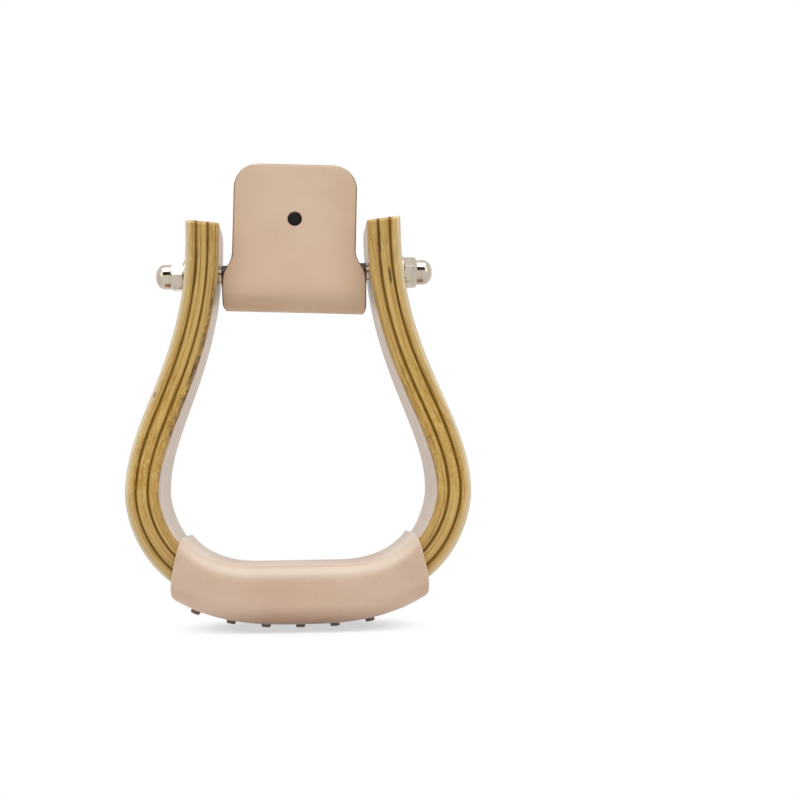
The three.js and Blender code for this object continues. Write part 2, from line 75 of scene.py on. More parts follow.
# The bow is three plies of pale oak and two thin dark veneers, glued up in a bent mould, sawn to
# width, rounded along its edges and lacquered. The mould's middle line and the sawn depth are
# the bow's whole shape, so each layer is one section swept along them. Sizes are in millimetres.
MM = 0.001
PLY, VENEER = 4.7, 0.75
BOW_THICKNESS = 3 * PLY + 2 * VENEER
TREAD_FACE = 27.8
BOLT_HEIGHT = TREAD_FACE + 140.7
WIDEST_HEIGHT = TREAD_FACE + 36.9
LIMB_END = BOLT_HEIGHT + 22.7
NECK_MIDDLE = (69 + BOW_THICKNESS) / 2
WIDEST_MIDDLE = (127.3 + BOW_THICKNESS) / 2
TREAD_MIDDLE = TREAD_FACE - BOW_THICKNESS / 2
TREAD_FLAT = 20
LIMB_CORNER = 2.2
LIMB_SLOPE, LIMB_SLOPE_RUN = math.tan(math.radians(7)), 14
WOOD_EDGE, FACE_SHARE = 2.2, 0.8
# How far the middle line runs on straight at each end of its two bends.
TREAD_PULL, WIDEST_PULL_DOWN, WIDEST_PULL_UP, NECK_PULL = 45.3, 8.2, 34.9, 64.5
# The sawn side: half its depth at the limb's end, at the waist and at the tread.
END_HALF_DEPTH, WAIST_HALF_DEPTH, FULL_HALF_DEPTH = 21.9, 18.9, 34.6
WAIST_HEIGHT, FULL_HEIGHT = BOLT_HEIGHT - 15, TREAD_FACE + 23
WAIST_PULL, FULL_PULL = 62, 25


def bezier(*ends):
    """Points of a cubic curve through the plane, one row each."""
    t = np.linspace(0, 1, 400)[:, None]
    a, b, c, d = (np.array(p, float) for p in ends)
    return a * (1 - t) ** 3 + 3 * b * t * (1 - t) ** 2 + 3 * c * t * t * (1 - t) + d * t ** 3


def run_of(line):
    """How far along a line in the plane each of its points lies."""
    return np.concatenate([[0], np.cumsum(np.hypot(*np.diff(line, axis=0).T))])


def at_steps(steps, line):
    """The places on a line in the plane at these distances along it."""
    run = run_of(line)
    return np.stack([np.interp(steps, run, line[:, i]) for i in (0, 1)], -1)


def unit_ways(line, *spacing):
    """The way a line runs at each of its points, as rows of length 1."""
    way = np.gradient(line, *spacing, axis=0)
    return way / np.linalg.norm(way, axis=1)[:, None]


def half_depths(heights):
    """Half the bow's sawn depth at these heights, from the limb's end down to the tread."""
    neck = LIMB_END - WAIST_HEIGHT
    above = bezier((END_HALF_DEPTH, LIMB_END), (END_HALF_DEPTH, LIMB_END - neck / 3),
                   (WAIST_HALF_DEPTH, LIMB_END - neck / 2), (WAIST_HALF_DEPTH, WAIST_HEIGHT))
    below = bezier((WAIST_HALF_DEPTH, WAIST_HEIGHT), (WAIST_HALF_DEPTH, WAIST_HEIGHT - WAIST_PULL),
                   (FULL_HALF_DEPTH, FULL_HEIGHT + FULL_PULL), (FULL_HALF_DEPTH, FULL_HEIGHT))
    side = np.vstack([above, below[1:]])[::-1]
    return np.interp(heights, side[:, 1], side[:, 0])


def bow_stations():
    """The middle line from the left limb's end to the right one's, a point each millimetre,
    with what each layer needs there."""
    corner = LIMB_END - LIMB_CORNER
    line = np.vstack([
        [[0, TREAD_MIDDLE]],
        bezier((TREAD_FLAT, TREAD_MIDDLE), (TREAD_FLAT + TREAD_PULL, TREAD_MIDDLE),
               (WIDEST_MIDDLE, WIDEST_HEIGHT - WIDEST_PULL_DOWN), (WIDEST_MIDDLE, WIDEST_HEIGHT)),
        bezier((WIDEST_MIDDLE, WIDEST_HEIGHT), (WIDEST_MIDDLE, WIDEST_HEIGHT + WIDEST_PULL_UP),
               (NECK_MIDDLE, corner - NECK_PULL), (NECK_MIDDLE, corner))[1:],
    ])
    run = run_of(line)
    steps = np.linspace(0, run[-1], int(run[-1]))
    place = at_steps(steps, line)
    way = unit_ways(place, steps)
    turned = np.sin(np.linspace(0, math.pi / 2, 7))[1:]
    place = np.vstack([place, [[NECK_MIDDLE, corner + LIMB_CORNER * s] for s in turned]])
    way = np.vstack([way, [[0, 1]] * len(turned)])
    inset = np.concatenate([np.zeros(len(steps)), LIMB_CORNER * (1 - np.sqrt(1 - turned ** 2))])
    along = np.concatenate([steps, run[-1] + LIMB_CORNER * turned])
    sloped = np.clip((along - along[-1] + LIMB_SLOPE_RUN) / LIMB_SLOPE_RUN, 0, 1)
    slope = LIMB_SLOPE * sloped ** 2
    half = {"place": place, "up_way": way, "out_way": np.stack([way[:, 1], -way[:, 0]], 1),
            "along": along, "slope": slope, "half_depth": half_depths(place[:, 1]) - inset}
    mirrored = {"place": (-1, 1), "up_way": (-1, 1), "out_way": (-1, 1), "along": -1}
    return {key: np.concatenate([value[:0:-1] * mirrored.get(key, 1), value])
            for key, value in half.items()}


def flat(rows):
    """Plane points as space points in the stirrup's front plane."""
    return np.stack([rows[:, 0], np.zeros(len(rows)), rows[:, 1]], 1)


def line_object(name, points, closed, **values):
    """A line of points as a loose mesh, each value kept as an attribute of its points."""
    mesh = bpy.data.meshes.new(name)
    edges = [(i, i + 1) for i in range(len(points) - 1)]
    if closed:
        edges.append((len(points) - 1, 0))
    mesh.from_pydata([tuple(p) for p in points], edges, [])
    for key, value in values.items():
        kind = "FLOAT" if value.ndim == 1 else "FLOAT_VECTOR"
        stored = mesh.attributes.new(key, kind, "POINT")
        stored.data.foreach_set("value" if kind == "FLOAT" else "vector",
                                np.ascontiguousarray(value, np.float32).ravel())
    return placed(name, mesh)


def layer_section(low, high):
    """A layer's section between two distances out from the bow's inner face, with the edges that
    lie on the bow's own faces rounded. Each point is its distance out, and its place in depth
    as a share of the half depth and a bare distance more."""
    turn = np.linspace(0, math.pi / 2, 9)

    def edge(out):
        return WOOD_EDGE if out in (0, BOW_THICKNESS) else 0

    def corner(out, inward, side):
        if not edge(out):
            return [(out, side, 0)]
        return [(out + inward * WOOD_EDGE * (1 - math.cos(t)), side,
                 -side * WOOD_EDGE * (1 - math.sin(t))) for t in turn]

    points = []
    for start, stop, side, inward in ((low, high, -1, 1), (high, low, 1, -1)):
        across = np.linspace(start + inward * edge(start), stop - inward * edge(stop), 6)[1:-1]
        points += corner(start, inward, side)
        points += [(out, side, 0) for out in across]
        points += corner(stop, -inward, side)[::-1]
        points += [(stop, share, -share * edge(stop))
                   for share in np.linspace(side, -side, 9) * FACE_SHARE]
    return np.array(points, float)


def add(tree, kind, inputs=(), **settings):
    """A new node with its settings and its inputs, each input a plain value or another socket."""
    node = tree.nodes.new(kind)
    for key, value in settings.items():
        setattr(node, key, value)
    for key, value in dict(inputs).items():
        if isinstance(value, bpy.types.NodeSocket):
            tree.links.new(value, node.inputs[key])
        else:
            node.inputs[key].default_value = value
    return node


def vector_math(tree, operation, first, second):
    """A sum on vectors. The second value of a scaling is a plain number, on a socket of its own."""
    other = "Scale" if operation == "SCALE" else 1
    return add(tree, "ShaderNodeVectorMath", {0: first, other: second},
               operation=operation).outputs[0]


def number_math(tree, operation, first, second=0.0):
    """A sum on numbers."""
    return add(tree, "ShaderNodeMath", {0: first, 1: second}, operation=operation).outputs[0]


def parts_of(tree, vector):
    """A vector's three parts."""
    return add(tree, "ShaderNodeSeparateXYZ", {0: vector}).outputs


def vector_of(tree, **parts):
    """A vector made of its parts X, Y and Z, each 0 if it isn't given."""
    return add(tree, "ShaderNodeCombineXYZ", parts).outputs[0]


def length_of(tree, vector):
    """A vector's length."""
    return add(tree, "ShaderNodeVectorMath", {0: vector}, operation="LENGTH").outputs["Value"]


def new_tree(name, **inputs):
    """A geometry tree with these named inputs and a finish, and what comes in through them."""
    tree = bpy.data.node_groups.new(name, "GeometryNodeTree")
    for label, kind in {**inputs, "Finish": "Material"}.items():
        tree.interface.new_socket(label, in_out="INPUT", socket_type="NodeSocket" + kind)
    tree.interface.new_socket("Made", in_out="OUTPUT", socket_type="NodeSocketGeometry")
    return tree, add(tree, "NodeGroupInput").outputs


def end_tree(tree, geometry, finish, place=None):
    """Ends a tree: its points go to their place, and it is made real and given its finish."""
    if place:
        geometry = add(tree, "GeometryNodeSetPosition",
                       {"Geometry": geometry, "Position": place}).outputs[0]
    realized = add(tree, "GeometryNodeRealizeInstances", {"Geometry": geometry})
    painted = add(tree, "GeometryNodeSetMaterial",
                  {"Geometry": realized.outputs[0], "Material": finish})
    add(tree, "NodeGroupOutput", {"Made": painted.outputs[0]})
    return tree


def stored(tree, name, kind="FLOAT_VECTOR"):
    """A value that the points carry."""
    node = add(tree, "GeometryNodeInputNamedAttribute", {"Name": name}, data_type=kind)
    return node.outputs["Attribute"]


def store(tree, geometry, name, value):
    """Gives the points of a geometry a vector to carry."""
    return add(tree, "GeometryNodeStoreNamedAttribute",
               {"Geometry": geometry, "Name": name, "Value": value},
               data_type="FLOAT_VECTOR", domain="POINT").outputs[0]


def swept_along(tree, line, section):
    """A section swept along a line of points, with closed ends."""
    path = add(tree, "GeometryNodeMeshToCurve", {"Mesh": line}).outputs[0]
    return add(tree, "GeometryNodeCurveToMesh",
               {"Curve": path, "Profile Curve": section, "Fill Caps": True}).outputs[0]


def layer_tree():
    """Sweeps a layer's section along the bow's stations. Middle is the bow's middle line, as a
    distance out from its inner face."""
    tree, given = new_tree("bow layer", Stations="Geometry", Section="Object", Middle="Float")
    section = add(tree, "GeometryNodeObjectInfo", {"Object": given["Section"]})
    profile = add(tree, "GeometryNodeMeshToCurve", {"Mesh": section.outputs["Geometry"]})
    swept = swept_along(tree, given["Stations"], profile.outputs[0])
    out, share, half_depth, edge, slope, along = (
        stored(tree, name, "FLOAT")
        for name in ("out", "share", "half_depth", "edge", "slope", "along"))
    from_middle = number_math(tree, "SUBTRACT", out, given["Middle"])
    depth = number_math(tree, "MULTIPLY", share, half_depth)
    depth = number_math(tree, "ADD", depth, edge)
    place = vector_math(tree, "SCALE", stored(tree, "out_way"), from_middle)
    lift = number_math(tree, "MULTIPLY", from_middle, slope)
    raised = vector_math(tree, "SCALE", stored(tree, "up_way"), lift)
    place = vector_math(tree, "ADD", place, raised)
    place = vector_math(tree, "ADD", place, stored(tree, "place"))
    place = vector_math(tree, "ADD", place, vector_of(tree, Y=depth))
    kept = store(tree, swept, "board", vector_of(tree, X=depth, Y=out, Z=along))
    return end_tree(tree, kept, given["Finish"], place)


def finished_mesh(made):
    """A plain mesh of a piece as its modifiers make it."""
    graph = bpy.context.evaluated_depsgraph_get()
    return bpy.data.meshes.new_from_object(made.evaluated_get(graph), depsgraph=graph)


def run_tree(name, source, tree, **inputs):
    """What a tree makes of a source object, as a plain mesh object of its own."""
    worker = source.copy()
    scene.collection.objects.link(worker)
    modifier = worker.modifiers.new("tree", "NODES")
    modifier.node_group = tree
    for item in tree.interface.items_tree:
        if item.in_out == "INPUT" and item.name in inputs:
            modifier[item.identifier] = inputs[item.name]
    bpy.context.view_layer.update()
    mesh = finished_mesh(worker)
    bpy.data.objects.remove(worker)
    mesh.name = name
    return placed(name, mesh)


def face_outwards(made):
    """Turns a closed mesh's faces outwards, judged by the sign of its volume."""
    work = bmesh.new()
    work.from_mesh(made.data)
    if work.calc_volume(signed=True) < 0:
        bmesh.ops.reverse_faces(work, faces=work.faces)
    work.to_mesh(made.data)
    work.free()


def smooth(made, sharp_degrees=35):
    """Shades a piece smooth, except where its faces meet at more than this angle."""
    made.data.shade_smooth()
    made.data.set_sharp_from_angle(angle=math.radians(sharp_degrees))


def saw(made, tool):
    """Cuts a tool's shape out of a piece, and removes the tool."""
    modifier = made.modifiers.new("cut", "BOOLEAN")
    modifier.operation = "DIFFERENCE"
    modifier.solver = "EXACT"
    modifier.object = tool
    mesh = finished_mesh(made)
    made.modifiers.remove(modifier)
    made.data = mesh
    bpy.data.objects.remove(tool)


SAME_PLACE = 1e-7


def mend_board(made, old_places, old_board):
    """Gives the points that a cut has made their own board places, from four old ones nearby."""
    tree = KDTree(len(old_places))
    for i, place in enumerate(old_places):
        tree.insert(place, i)
    tree.balance()
    values = made.data.attributes["board"].data
    for vertex, value in zip(made.data.vertices, values):
        found = tree.find_n(vertex.co, 4)
        if found[0][2] > SAME_PLACE:
            weight = np.array([1 / distance for _, _, distance in found])
            board = weight @ old_board[[i for _, i, _ in found]] / weight.sum()
            value.vector = (vertex.co.y, board[1], board[2])


def loft(name, rows, looped=False):
    """Joins rows of points, each a closed ring, into a skin. Its last row is joined to the first
    when it is looped, and otherwise its two ends are closed. Rows are in metres."""
    rows = np.asarray(rows, float)
    count, around = rows.shape[:2]
    faces = []
    for row in range(count if looped else count - 1):
        after = (row + 1) % count
        for i in range(around):
            j = (i + 1) % around
            faces.append((row * around + i, row * around + j, after * around + j,
                          after * around + i))
    if not looped:
        faces.append(tuple(range(around))[::-1])
        faces.append(tuple((count - 1) * around + i for i in range(around)))
    mesh = bpy.data.meshes.new(name)
    mesh.from_pydata([tuple(p) for p in rows.reshape(-1, 3)], [], faces)
    made = placed(name, mesh)
    face_outwards(made)
    return made


def circle(sides):
    """Angles all the way round, the last one short of the first."""
    return np.linspace(0, 2 * math.pi, sides, endpoint=False)


def turned_rod(name, profile, sides=64):
    """A turned shape round the bolt's axis, from rows of X and radius in millimetres."""
    angle = circle(sides)
    rows = [np.stack([np.full(sides, x), r * np.cos(angle), BOLT_HEIGHT + r * np.sin(angle)], 1)
            for x, r in profile]
    return loft(name, np.array(rows) * MM)


def colour(red, green, blue):
    """A display colour out of 255, as the linear colour that a shader takes."""
    return tuple((c / 255 / 12.92) if c < 10.3 else ((c / 255 + 0.055) / 1.055) ** 2.4
                 for c in (red, green, blue)) + (1,)


def mix(tree, share, first, second):
    """Two colours mixed, by the share of the second one."""
    return add(tree, "ShaderNodeMix", {0: share, 6: first, 7: second}, data_type="RGBA").outputs[2]


def span(tree, value, low, high, out_low=0.0, out_high=1.0):
    """A value's place between two limits, as a number between two others, eased at both."""
    return add(tree, "ShaderNodeMapRange",
               {"Value": value, "From Min": low, "From Max": high, "To Min": out_low,
                "To Max": out_high}, interpolation_type="SMOOTHSTEP").outputs[0]


def speckle(tree, place, fineness, detail, seed, roughness):
    """Soft noise from 0 to 1, as fine along each axis as its fineness, in waves per metre."""
    mapped = add(tree, "ShaderNodeMapping",
                 {"Vector": place, "Location": (seed, seed * 0.7, seed * 1.3), "Scale": fineness})
    return add(tree, "ShaderNodeTexNoise",
               {"Vector": mapped.outputs[0], "Scale": 1.0, "Detail": detail,
                "Roughness": roughness}).outputs[0]


def new_finish(name, **constants):
    """A material with one shader. Returns the material, its tree and the shader."""
    material = bpy.data.materials.new(name)
    material.use_nodes = True
    tree = material.node_tree
    tree.nodes.clear()
    shader = add(tree, "ShaderNodeBsdfPrincipled")
    for key, value in constants.items():
        shader.inputs[key.replace("_", " ")].default_value = value
    out = add(tree, "ShaderNodeOutputMaterial")
    tree.links.new(shader.outputs[0], out.inputs["Surface"])
    return material, tree, shader


def carried(tree, name, output="Vector"):
    """A value that the piece's points carry."""
    return add(tree, "ShaderNodeAttribute", attribute_name=name).outputs[output]


def texture_place(tree, output="Object"):
    """Where a point lies, or with Normal which way its face looks."""
    return add(tree, "ShaderNodeTexCoord").outputs[output]


def wire(tree, shader, tone, rough, **bump):
    """Gives a shader its colour, its roughness and, if it is told of one, its fine relief."""
    tree.links.new(tone, shader.inputs["Base Color"])
    tree.links.new(rough, shader.inputs["Roughness"])
    if bump:
        relief = add(tree, "ShaderNodeBump", bump)
        tree.links.new(relief.outputs[0], shader.inputs["Normal"])


def product(tree, *factors):
    """Values multiplied together."""
    total = factors[0]
    for factor in factors[1:]:
        total = number_math(tree, "MULTIPLY", total, factor)
    return total


def near(tree, value, middle, reach, fade):
    """1 where a value is within reach of a middle, falling to 0 over the fade beyond it."""
    far = number_math(tree, "ABSOLUTE", number_math(tree, "SUBTRACT", value, middle))
    return span(tree, far, reach + fade, reach)


# Each grain's fineness through the depth, through the thickness and along the bow, then its
# detail, its seed and its roughness.
BANDS, FIBRES = ((260, 420, 5), 3, 1, 0.5), ((1500, 1500, 26), 5, 4, 0.65)
STREAKS, PORES = ((120, 1500, 7), 3, 6, 0.6), ((2300, 2300, 90), 2, 8, 0.5)
FLECKS, VENEER_FIBRES = ((900, 900, 190), 5, 10, 0.75), ((1500, 1500, 60), 5, 5, 0.65)
FIGURE, FACE_LINES = ((190, 190, 8), 4, 12, 0.6), ((1300, 1300, 34), 4, 14, 0.6)
GRAIN_DRIFT = 0.2
OAK_PALE, OAK_MIDDLE = colour(224, 189, 118), colour(205, 167, 92)
OAK_DARK, OAK_STREAK, OAK_PORE = colour(182, 138, 60), colour(138, 98, 34), colour(104, 68, 22)
# The second colour below is painted shade, with some real stain.
OAK_GLUED, OAK_EDGE_SHADE_AND_STAIN, OAK_FLECK = colour(118, 78, 8), colour(92, 64, 34), colour(62, 38, 6)
# The two colours below are painted highlights, the first partly wear.
OAK_WEAR_AND_HIGHLIGHT, OAK_RIM_HIGHLIGHT = colour(226, 208, 166), colour(236, 222, 190)
FACE_DEEP, FACE_MIDDLE = colour(166, 118, 38), colour(203, 154, 80)
FACE_PALE, FACE_LINE = colour(222, 180, 114), colour(146, 98, 28)
# The inside colour below is a painted reflection.
FACE_INSIDE_REFLECTION = colour(226, 214, 206)
VENEER_DARK, VENEER_PALE = colour(92, 58, 4), colour(128, 88, 14)
INNER_LINE = PLY + VENEER / 2
OUTER_LINE = 2 * PLY + 1.5 * VENEER
# Where each mark on the bow fades in, in metres out from the inner face or in depth.
# The first two bands below are painted highlights, the first partly wear; the third is painted
# shade along the inner front edge.
OUTER_HIGHLIGHT_BAND, RIM_HIGHLIGHT_BAND, EDGE_SHADE_AND_STAIN_BAND = (0.0118, 0.0145), (0.0115, 0.0135), (0.0034, 0.0006)
OUTSIDE, INSIDE = (0.0146, 0.0154), (0.001, 0.0002)
FRONT_HALF, FRONT_EDGE = (0, -0.01), (-0.008, -0.013)
GLUE_REACH, SPOILED_MIDDLE, SPOILED_REACH = 0.0005, -0.16, 0.024
# Each dark fleck's place along the bow and out, its length and its strength.
DARK_FLECKS = ((0.2165, 0.0054, 0.011, 1.0), (0.200, 0.0088, 0.007, 1.0),
               (-0.2045, 0.0101, 0.018, 0.8), (-0.1415, 0.0140, 0.0025, 0.6),
               (-0.1575, 0.0014, 0.008, 0.9))
FLECK_HALF_WIDTH, FLECK_FADE = 0.0002, 0.0006


def oak_finish(name):
    """Lacquered oak. Its grain follows the board attribute, so it bends with the bow. Glue has
    darkened it beside the veneers. A painted highlight, partly wear, pales the outer edges, and
    painted shade darkens the inner front edges, most where real stains spoil one. The bow's broad
    faces show flat-sawn figure, which drifts across them, paled inside by a painted reflection."""
    material, tree, shader = new_finish(name, Coat_Weight=0.3, Coat_Roughness=0.14,
                                        Coat_IOR=1.5, IOR=1.4)
    board = carried(tree, "board")
    depth, out, along = parts_of(tree, board)
    forward = number_math(tree, "ABSOLUTE", parts_of(tree, texture_place(tree, "Normal"))[1])
    bands, fibre, streak, pores, flecks = (
        speckle(tree, board, *grain) for grain in (BANDS, FIBRES, STREAKS, PORES, FLECKS))
    wood = mix(tree, span(tree, bands, 0.3, 0.7), OAK_DARK, OAK_MIDDLE)
    wood = mix(tree, span(tree, fibre, 0.42, 0.72), wood, OAK_PALE)
    wood = mix(tree, span(tree, streak, 0.54, 0.66, 0, 0.7), wood, OAK_STREAK)
    pore = product(tree, span(tree, pores, 0.60, 0.70), span(tree, bands, 0.62, 0.35))
    wood = mix(tree, product(tree, pore, 0.65), wood, OAK_PORE)

    glue = number_math(tree, "MAXIMUM", near(tree, out, INNER_LINE * MM, GLUE_REACH, GLUE_REACH),
                       near(tree, out, OUTER_LINE * MM, GLUE_REACH, GLUE_REACH))
    wood = mix(tree, product(tree, glue, span(tree, streak, 0.4, 0.62, 0.55, 1)), wood, OAK_GLUED)
    # Painted highlight, partly wear: the outer ply is paler towards the outer edge, and paler still
    # on its rounded rim.
    highlight_streaks = span(tree, streak, 0.3, 0.6, 0.8, 0.45)
    wood = mix(tree, product(tree, span(tree, out, *OUTER_HIGHLIGHT_BAND), highlight_streaks), wood, OAK_WEAR_AND_HIGHLIGHT)
    rounded = near(tree, forward, 0.66, 0.16, 0.12)
    rim = product(tree, rounded, span(tree, out, *RIM_HIGHLIGHT_BAND), 0.6)
    wood = mix(tree, rim, wood, OAK_RIM_HIGHLIGHT)
    # Painted shade along the inner front edge, patchy, and strongest where real stains spoil the
    # edge.
    spoiled = near(tree, along, SPOILED_MIDDLE, SPOILED_REACH, SPOILED_REACH)
    edge_shade_and_stain = product(tree, span(tree, out, *EDGE_SHADE_AND_STAIN_BAND), span(tree, flecks, 0.44, 0.56, 0.1, 0.95),
                      span(tree, spoiled, 0, 1, 0.25, 1), span(tree, depth, *FRONT_EDGE))
    wood = mix(tree, edge_shade_and_stain, wood, OAK_EDGE_SHADE_AND_STAIN)
    for mark_along, mark_out, length, strength in DARK_FLECKS:
        mark = product(tree, near(tree, along, mark_along, length / 4, length / 2),
                       near(tree, out, mark_out, FLECK_HALF_WIDTH, FLECK_FADE),
                       span(tree, flecks, 0.3, 0.5, 0.5, 1), span(tree, depth, *FRONT_HALF),
                       strength)
        wood = mix(tree, mark, wood, OAK_FLECK)

    across = number_math(tree, "ADD", depth, product(tree, along, GRAIN_DRIFT))
    drifted = vector_of(tree, X=across, Y=out, Z=along)
    figure, lines = speckle(tree, drifted, *FIGURE), speckle(tree, drifted, *FACE_LINES)
    face = mix(tree, span(tree, figure, 0.35, 0.65), FACE_DEEP, FACE_MIDDLE)
    face = mix(tree, span(tree, lines, 0.46, 0.3, 0, 0.6), face, FACE_PALE)
    face = mix(tree, span(tree, lines, 0.54, 0.66, 0, 0.75), face, FACE_LINE)
    broad = span(tree, forward, 0.35, 0.15)
    inside = span(tree, out, *INSIDE)
    either = number_math(tree, "MAXIMUM", span(tree, out, *OUTSIDE), inside)
    wood = mix(tree, product(tree, broad, either), wood, face)
    # A pale painted reflection on the inner face.
    wood = mix(tree, product(tree, broad, inside, 0.36), wood, FACE_INSIDE_REFLECTION)
    wire(tree, shader, wood, span(tree, fibre, 0.3, 0.8, 0.34, 0.5),
         Height=number_math(tree, "SUBTRACT", fibre, pore), Strength=0.12, Distance=0.0003)
    return material


def veneer_finish(name):
    """The veneers' cut edges: dark, fine and duller than the oak."""
    material, tree, shader = new_finish(name, IOR=1.4, Specular_IOR_Level=0.25)
    fibre = speckle(tree, carried(tree, "board"), *VENEER_FIBRES)
    wood = mix(tree, span(tree, fibre, 0.35, 0.7), VENEER_DARK, VENEER_PALE)
    wire(tree, shader, wood, span(tree, fibre, 0.3, 0.8, 0.4, 0.55))
    return material


oak = oak_finish("lacquered oak")
dark_veneer = veneer_finish("dark veneer")
stations = bow_stations()
path = line_object("stations", flat(stations["place"]) * MM, False,
                   place=flat(stations["place"]) * MM, out_way=flat(stations["out_way"]),
                   up_way=flat(stations["up_way"]), along=stations["along"] * MM,
                   half_depth=stations["half_depth"] * MM, slope=stations["slope"])
bow_layer = layer_tree()
HOLE_RADIUS, SEAT_RADIUS, WASHER_SEAT, DRILL_END = 4.25, 8.4, 50.8, 70
SECTION_SPREAD = 20
low = 0.0
for node, piece, thickness, finish, slot in (
        ("inner_ply", "inner_ply_board", PLY, oak, "oak"),
        ("inner_veneer", "inner_dark_line", VENEER, dark_veneer, "dark_veneer"),
        ("middle_ply", "middle_ply_board", PLY, oak, "oak"),
        ("outer_veneer", "outer_dark_line", VENEER, dark_veneer, "dark_veneer"),
        ("outer_ply", "outer_ply_board", PLY, oak, "oak")):
    high = BOW_THICKNESS if node == "outer_ply" else low + thickness
    points = layer_section(low, high)
    outline = np.stack([points[:, 0], points[:, 1] * SECTION_SPREAD, points[:, 0] * 0], 1)
    section = line_object("section", outline * MM, True, out=points[:, 0] * MM,
                          share=points[:, 1], edge=points[:, 2] * MM)
    layer = run_tree(piece, path, bow_layer, Section=section, Middle=BOW_THICKNESS / 2 * MM,
                     Finish=finish)
    bpy.data.objects.remove(section)
    face_outwards(layer)
    whole_places = [v.co.copy() for v in layer.data.vertices]
    whole_board = np.array([value.vector for value in layer.data.attributes["board"].data])
    saw(layer, turned_rod("drill", [
        (-DRILL_END, SEAT_RADIUS), (-WASHER_SEAT, SEAT_RADIUS), (-WASHER_SEAT, HOLE_RADIUS),
        (WASHER_SEAT, HOLE_RADIUS), (WASHER_SEAT, SEAT_RADIUS), (DRILL_END, SEAT_RADIUS)]))
    mend_board(layer, whole_places, whole_board)
    smooth(layer)
    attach(layer, "bow")
    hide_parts(node)
    low = high
bpy.data.objects.remove(path)


# The bolt is a plain steel rod that closes the neck. A washer and a polished dome nut hold each
# limb on it, and each nut has stopped at its own turn.
WASHER_THICKNESS, WASHER_HOLE, WASHER_RADIUS = 1.6, 4.35, 8.0
NUT_SEAT = WASHER_SEAT + WASHER_THICKNESS
HEX_APOTHEM, HEX_HEIGHT, HEX_ROUND = 6.35, 6.2, 0.3
DOME_RADIUS, DOME_STRAIGHT, DOME_CAP, DOME_FULLNESS = 5.9, 2.5, 5.0, 2.3
RIGHT_NUT_TURN, LEFT_NUT_TURN = math.radians(13), math.radians(30)
STEEL_BRIGHT, STEEL_RUBBED = colour(200, 188, 172), colour(186, 174.84, 159.96)
STEEL_RUBS, STEEL_SCRATCHES = ((500, 90, 90), 4, 2, 0.5), ((4000, 300, 300), 3, 9, 0.7)


def steel_finish(name):
    """Polished steel with fine handling marks."""
    material, tree, shader = new_finish(name, Metallic=1.0, IOR=2.5)
    place = texture_place(tree)
    rubbed, scratched = speckle(tree, place, *STEEL_RUBS), speckle(tree, place, *STEEL_SCRATCHES)
    metal = mix(tree, span(tree, rubbed, 0.35, 0.7), STEEL_BRIGHT, STEEL_RUBBED)
    wire(tree, shader, metal, span(tree, rubbed, 0.3, 0.75, 0.1, 0.22),
         Height=scratched, Strength=0.05, Distance=0.0001)
    return material


def both_ends_tree():
    """Puts a piece that was made round the X axis on the bolt's right end, and again on its
    left end, each with its own turn. Angles are in radians."""
    tree, given = new_tree("both ends", Piece="Geometry", Height="Float", Right_turn="Float",
                           Left_turn="Float")
    place = vector_of(tree, Z=given["Height"])
    joined = add(tree, "GeometryNodeJoinGeometry")
    for turn, half_turn in (("Right_turn", 0.0), ("Left_turn", math.pi)):
        way = vector_of(tree, X=given[turn], Z=half_turn)
        moved = add(tree, "GeometryNodeTransform",
                    {"Geometry": given["Piece"], "Translation": place, "Rotation": way})
        tree.links.new(moved.outputs[0], joined.inputs[0])
    return end_tree(tree, joined.outputs[0], given["Finish"])


def hexagon():
    """The hexagon's outline with its corners just broken, as rows of Y and Z."""
    reach = (HEX_APOTHEM - HEX_ROUND) / math.cos(math.pi / 6)

    def near_corner(corner, turn):
        middle = math.radians(90 - 60 * corner)
        return np.array((reach * math.cos(middle) + HEX_ROUND * math.cos(middle + turn),
                         reach * math.sin(middle) + HEX_ROUND * math.sin(middle + turn)))

    points = []
    for corner in range(6):
        points += [near_corner(corner, turn) for turn in np.radians(np.linspace(30, -30, 5))]
        start, stop = points[-1], near_corner(corner + 1, math.pi / 6)
        points += [start + (stop - start) * s for s in np.linspace(0, 1, 12)[1:-1]]
    return np.array(points)


def dome_nut():
    """A dome nut round the X axis from its seat outwards. The hexagon is held inside a chamfer
    at both ends, given as distances past its flats, and the dome's rows are round."""
    seat_chamfer = ((0, -3.4), (0, -0.1), (0.12, 0.15), (0.6, 0.85), (1.0, 1.1), (3.0, 1.1))
    dome_chamfer = ((0.95, 1.1), (0.7, 0.7), (0.35, 0.25), (0.08, -0.08), (0, -0.2))
    dome_fillet, last_degree = 0.06, 89.5
    outline = hexagon()
    reach = np.linalg.norm(outline, axis=1)[:, None]
    rows = []
    for x, past in seat_chamfer + tuple((HEX_HEIGHT - back, past) for back, past in dome_chamfer):
        rows.append((x, outline * np.minimum(1, (HEX_APOTHEM + past) / reach)))
    round_outline = outline / reach
    for x, fillet in ((0, dome_fillet), (0.1, 0), (DOME_STRAIGHT / 2, 0)):
        rows.append((HEX_HEIGHT + x, round_outline * (DOME_RADIUS + fillet)))
    for angle in np.radians(np.linspace(0, last_degree, 24)):
        rise = math.sin(angle) ** (2 / DOME_FULLNESS)
        radius = DOME_RADIUS * math.cos(angle) ** (2 / DOME_FULLNESS)
        rows.append((HEX_HEIGHT + DOME_STRAIGHT + DOME_CAP * rise, round_outline * radius))
    made = [np.column_stack([np.full(len(ring), x + NUT_SEAT), ring]) for x, ring in rows]
    return loft("dome nut", np.array(made) * MM)


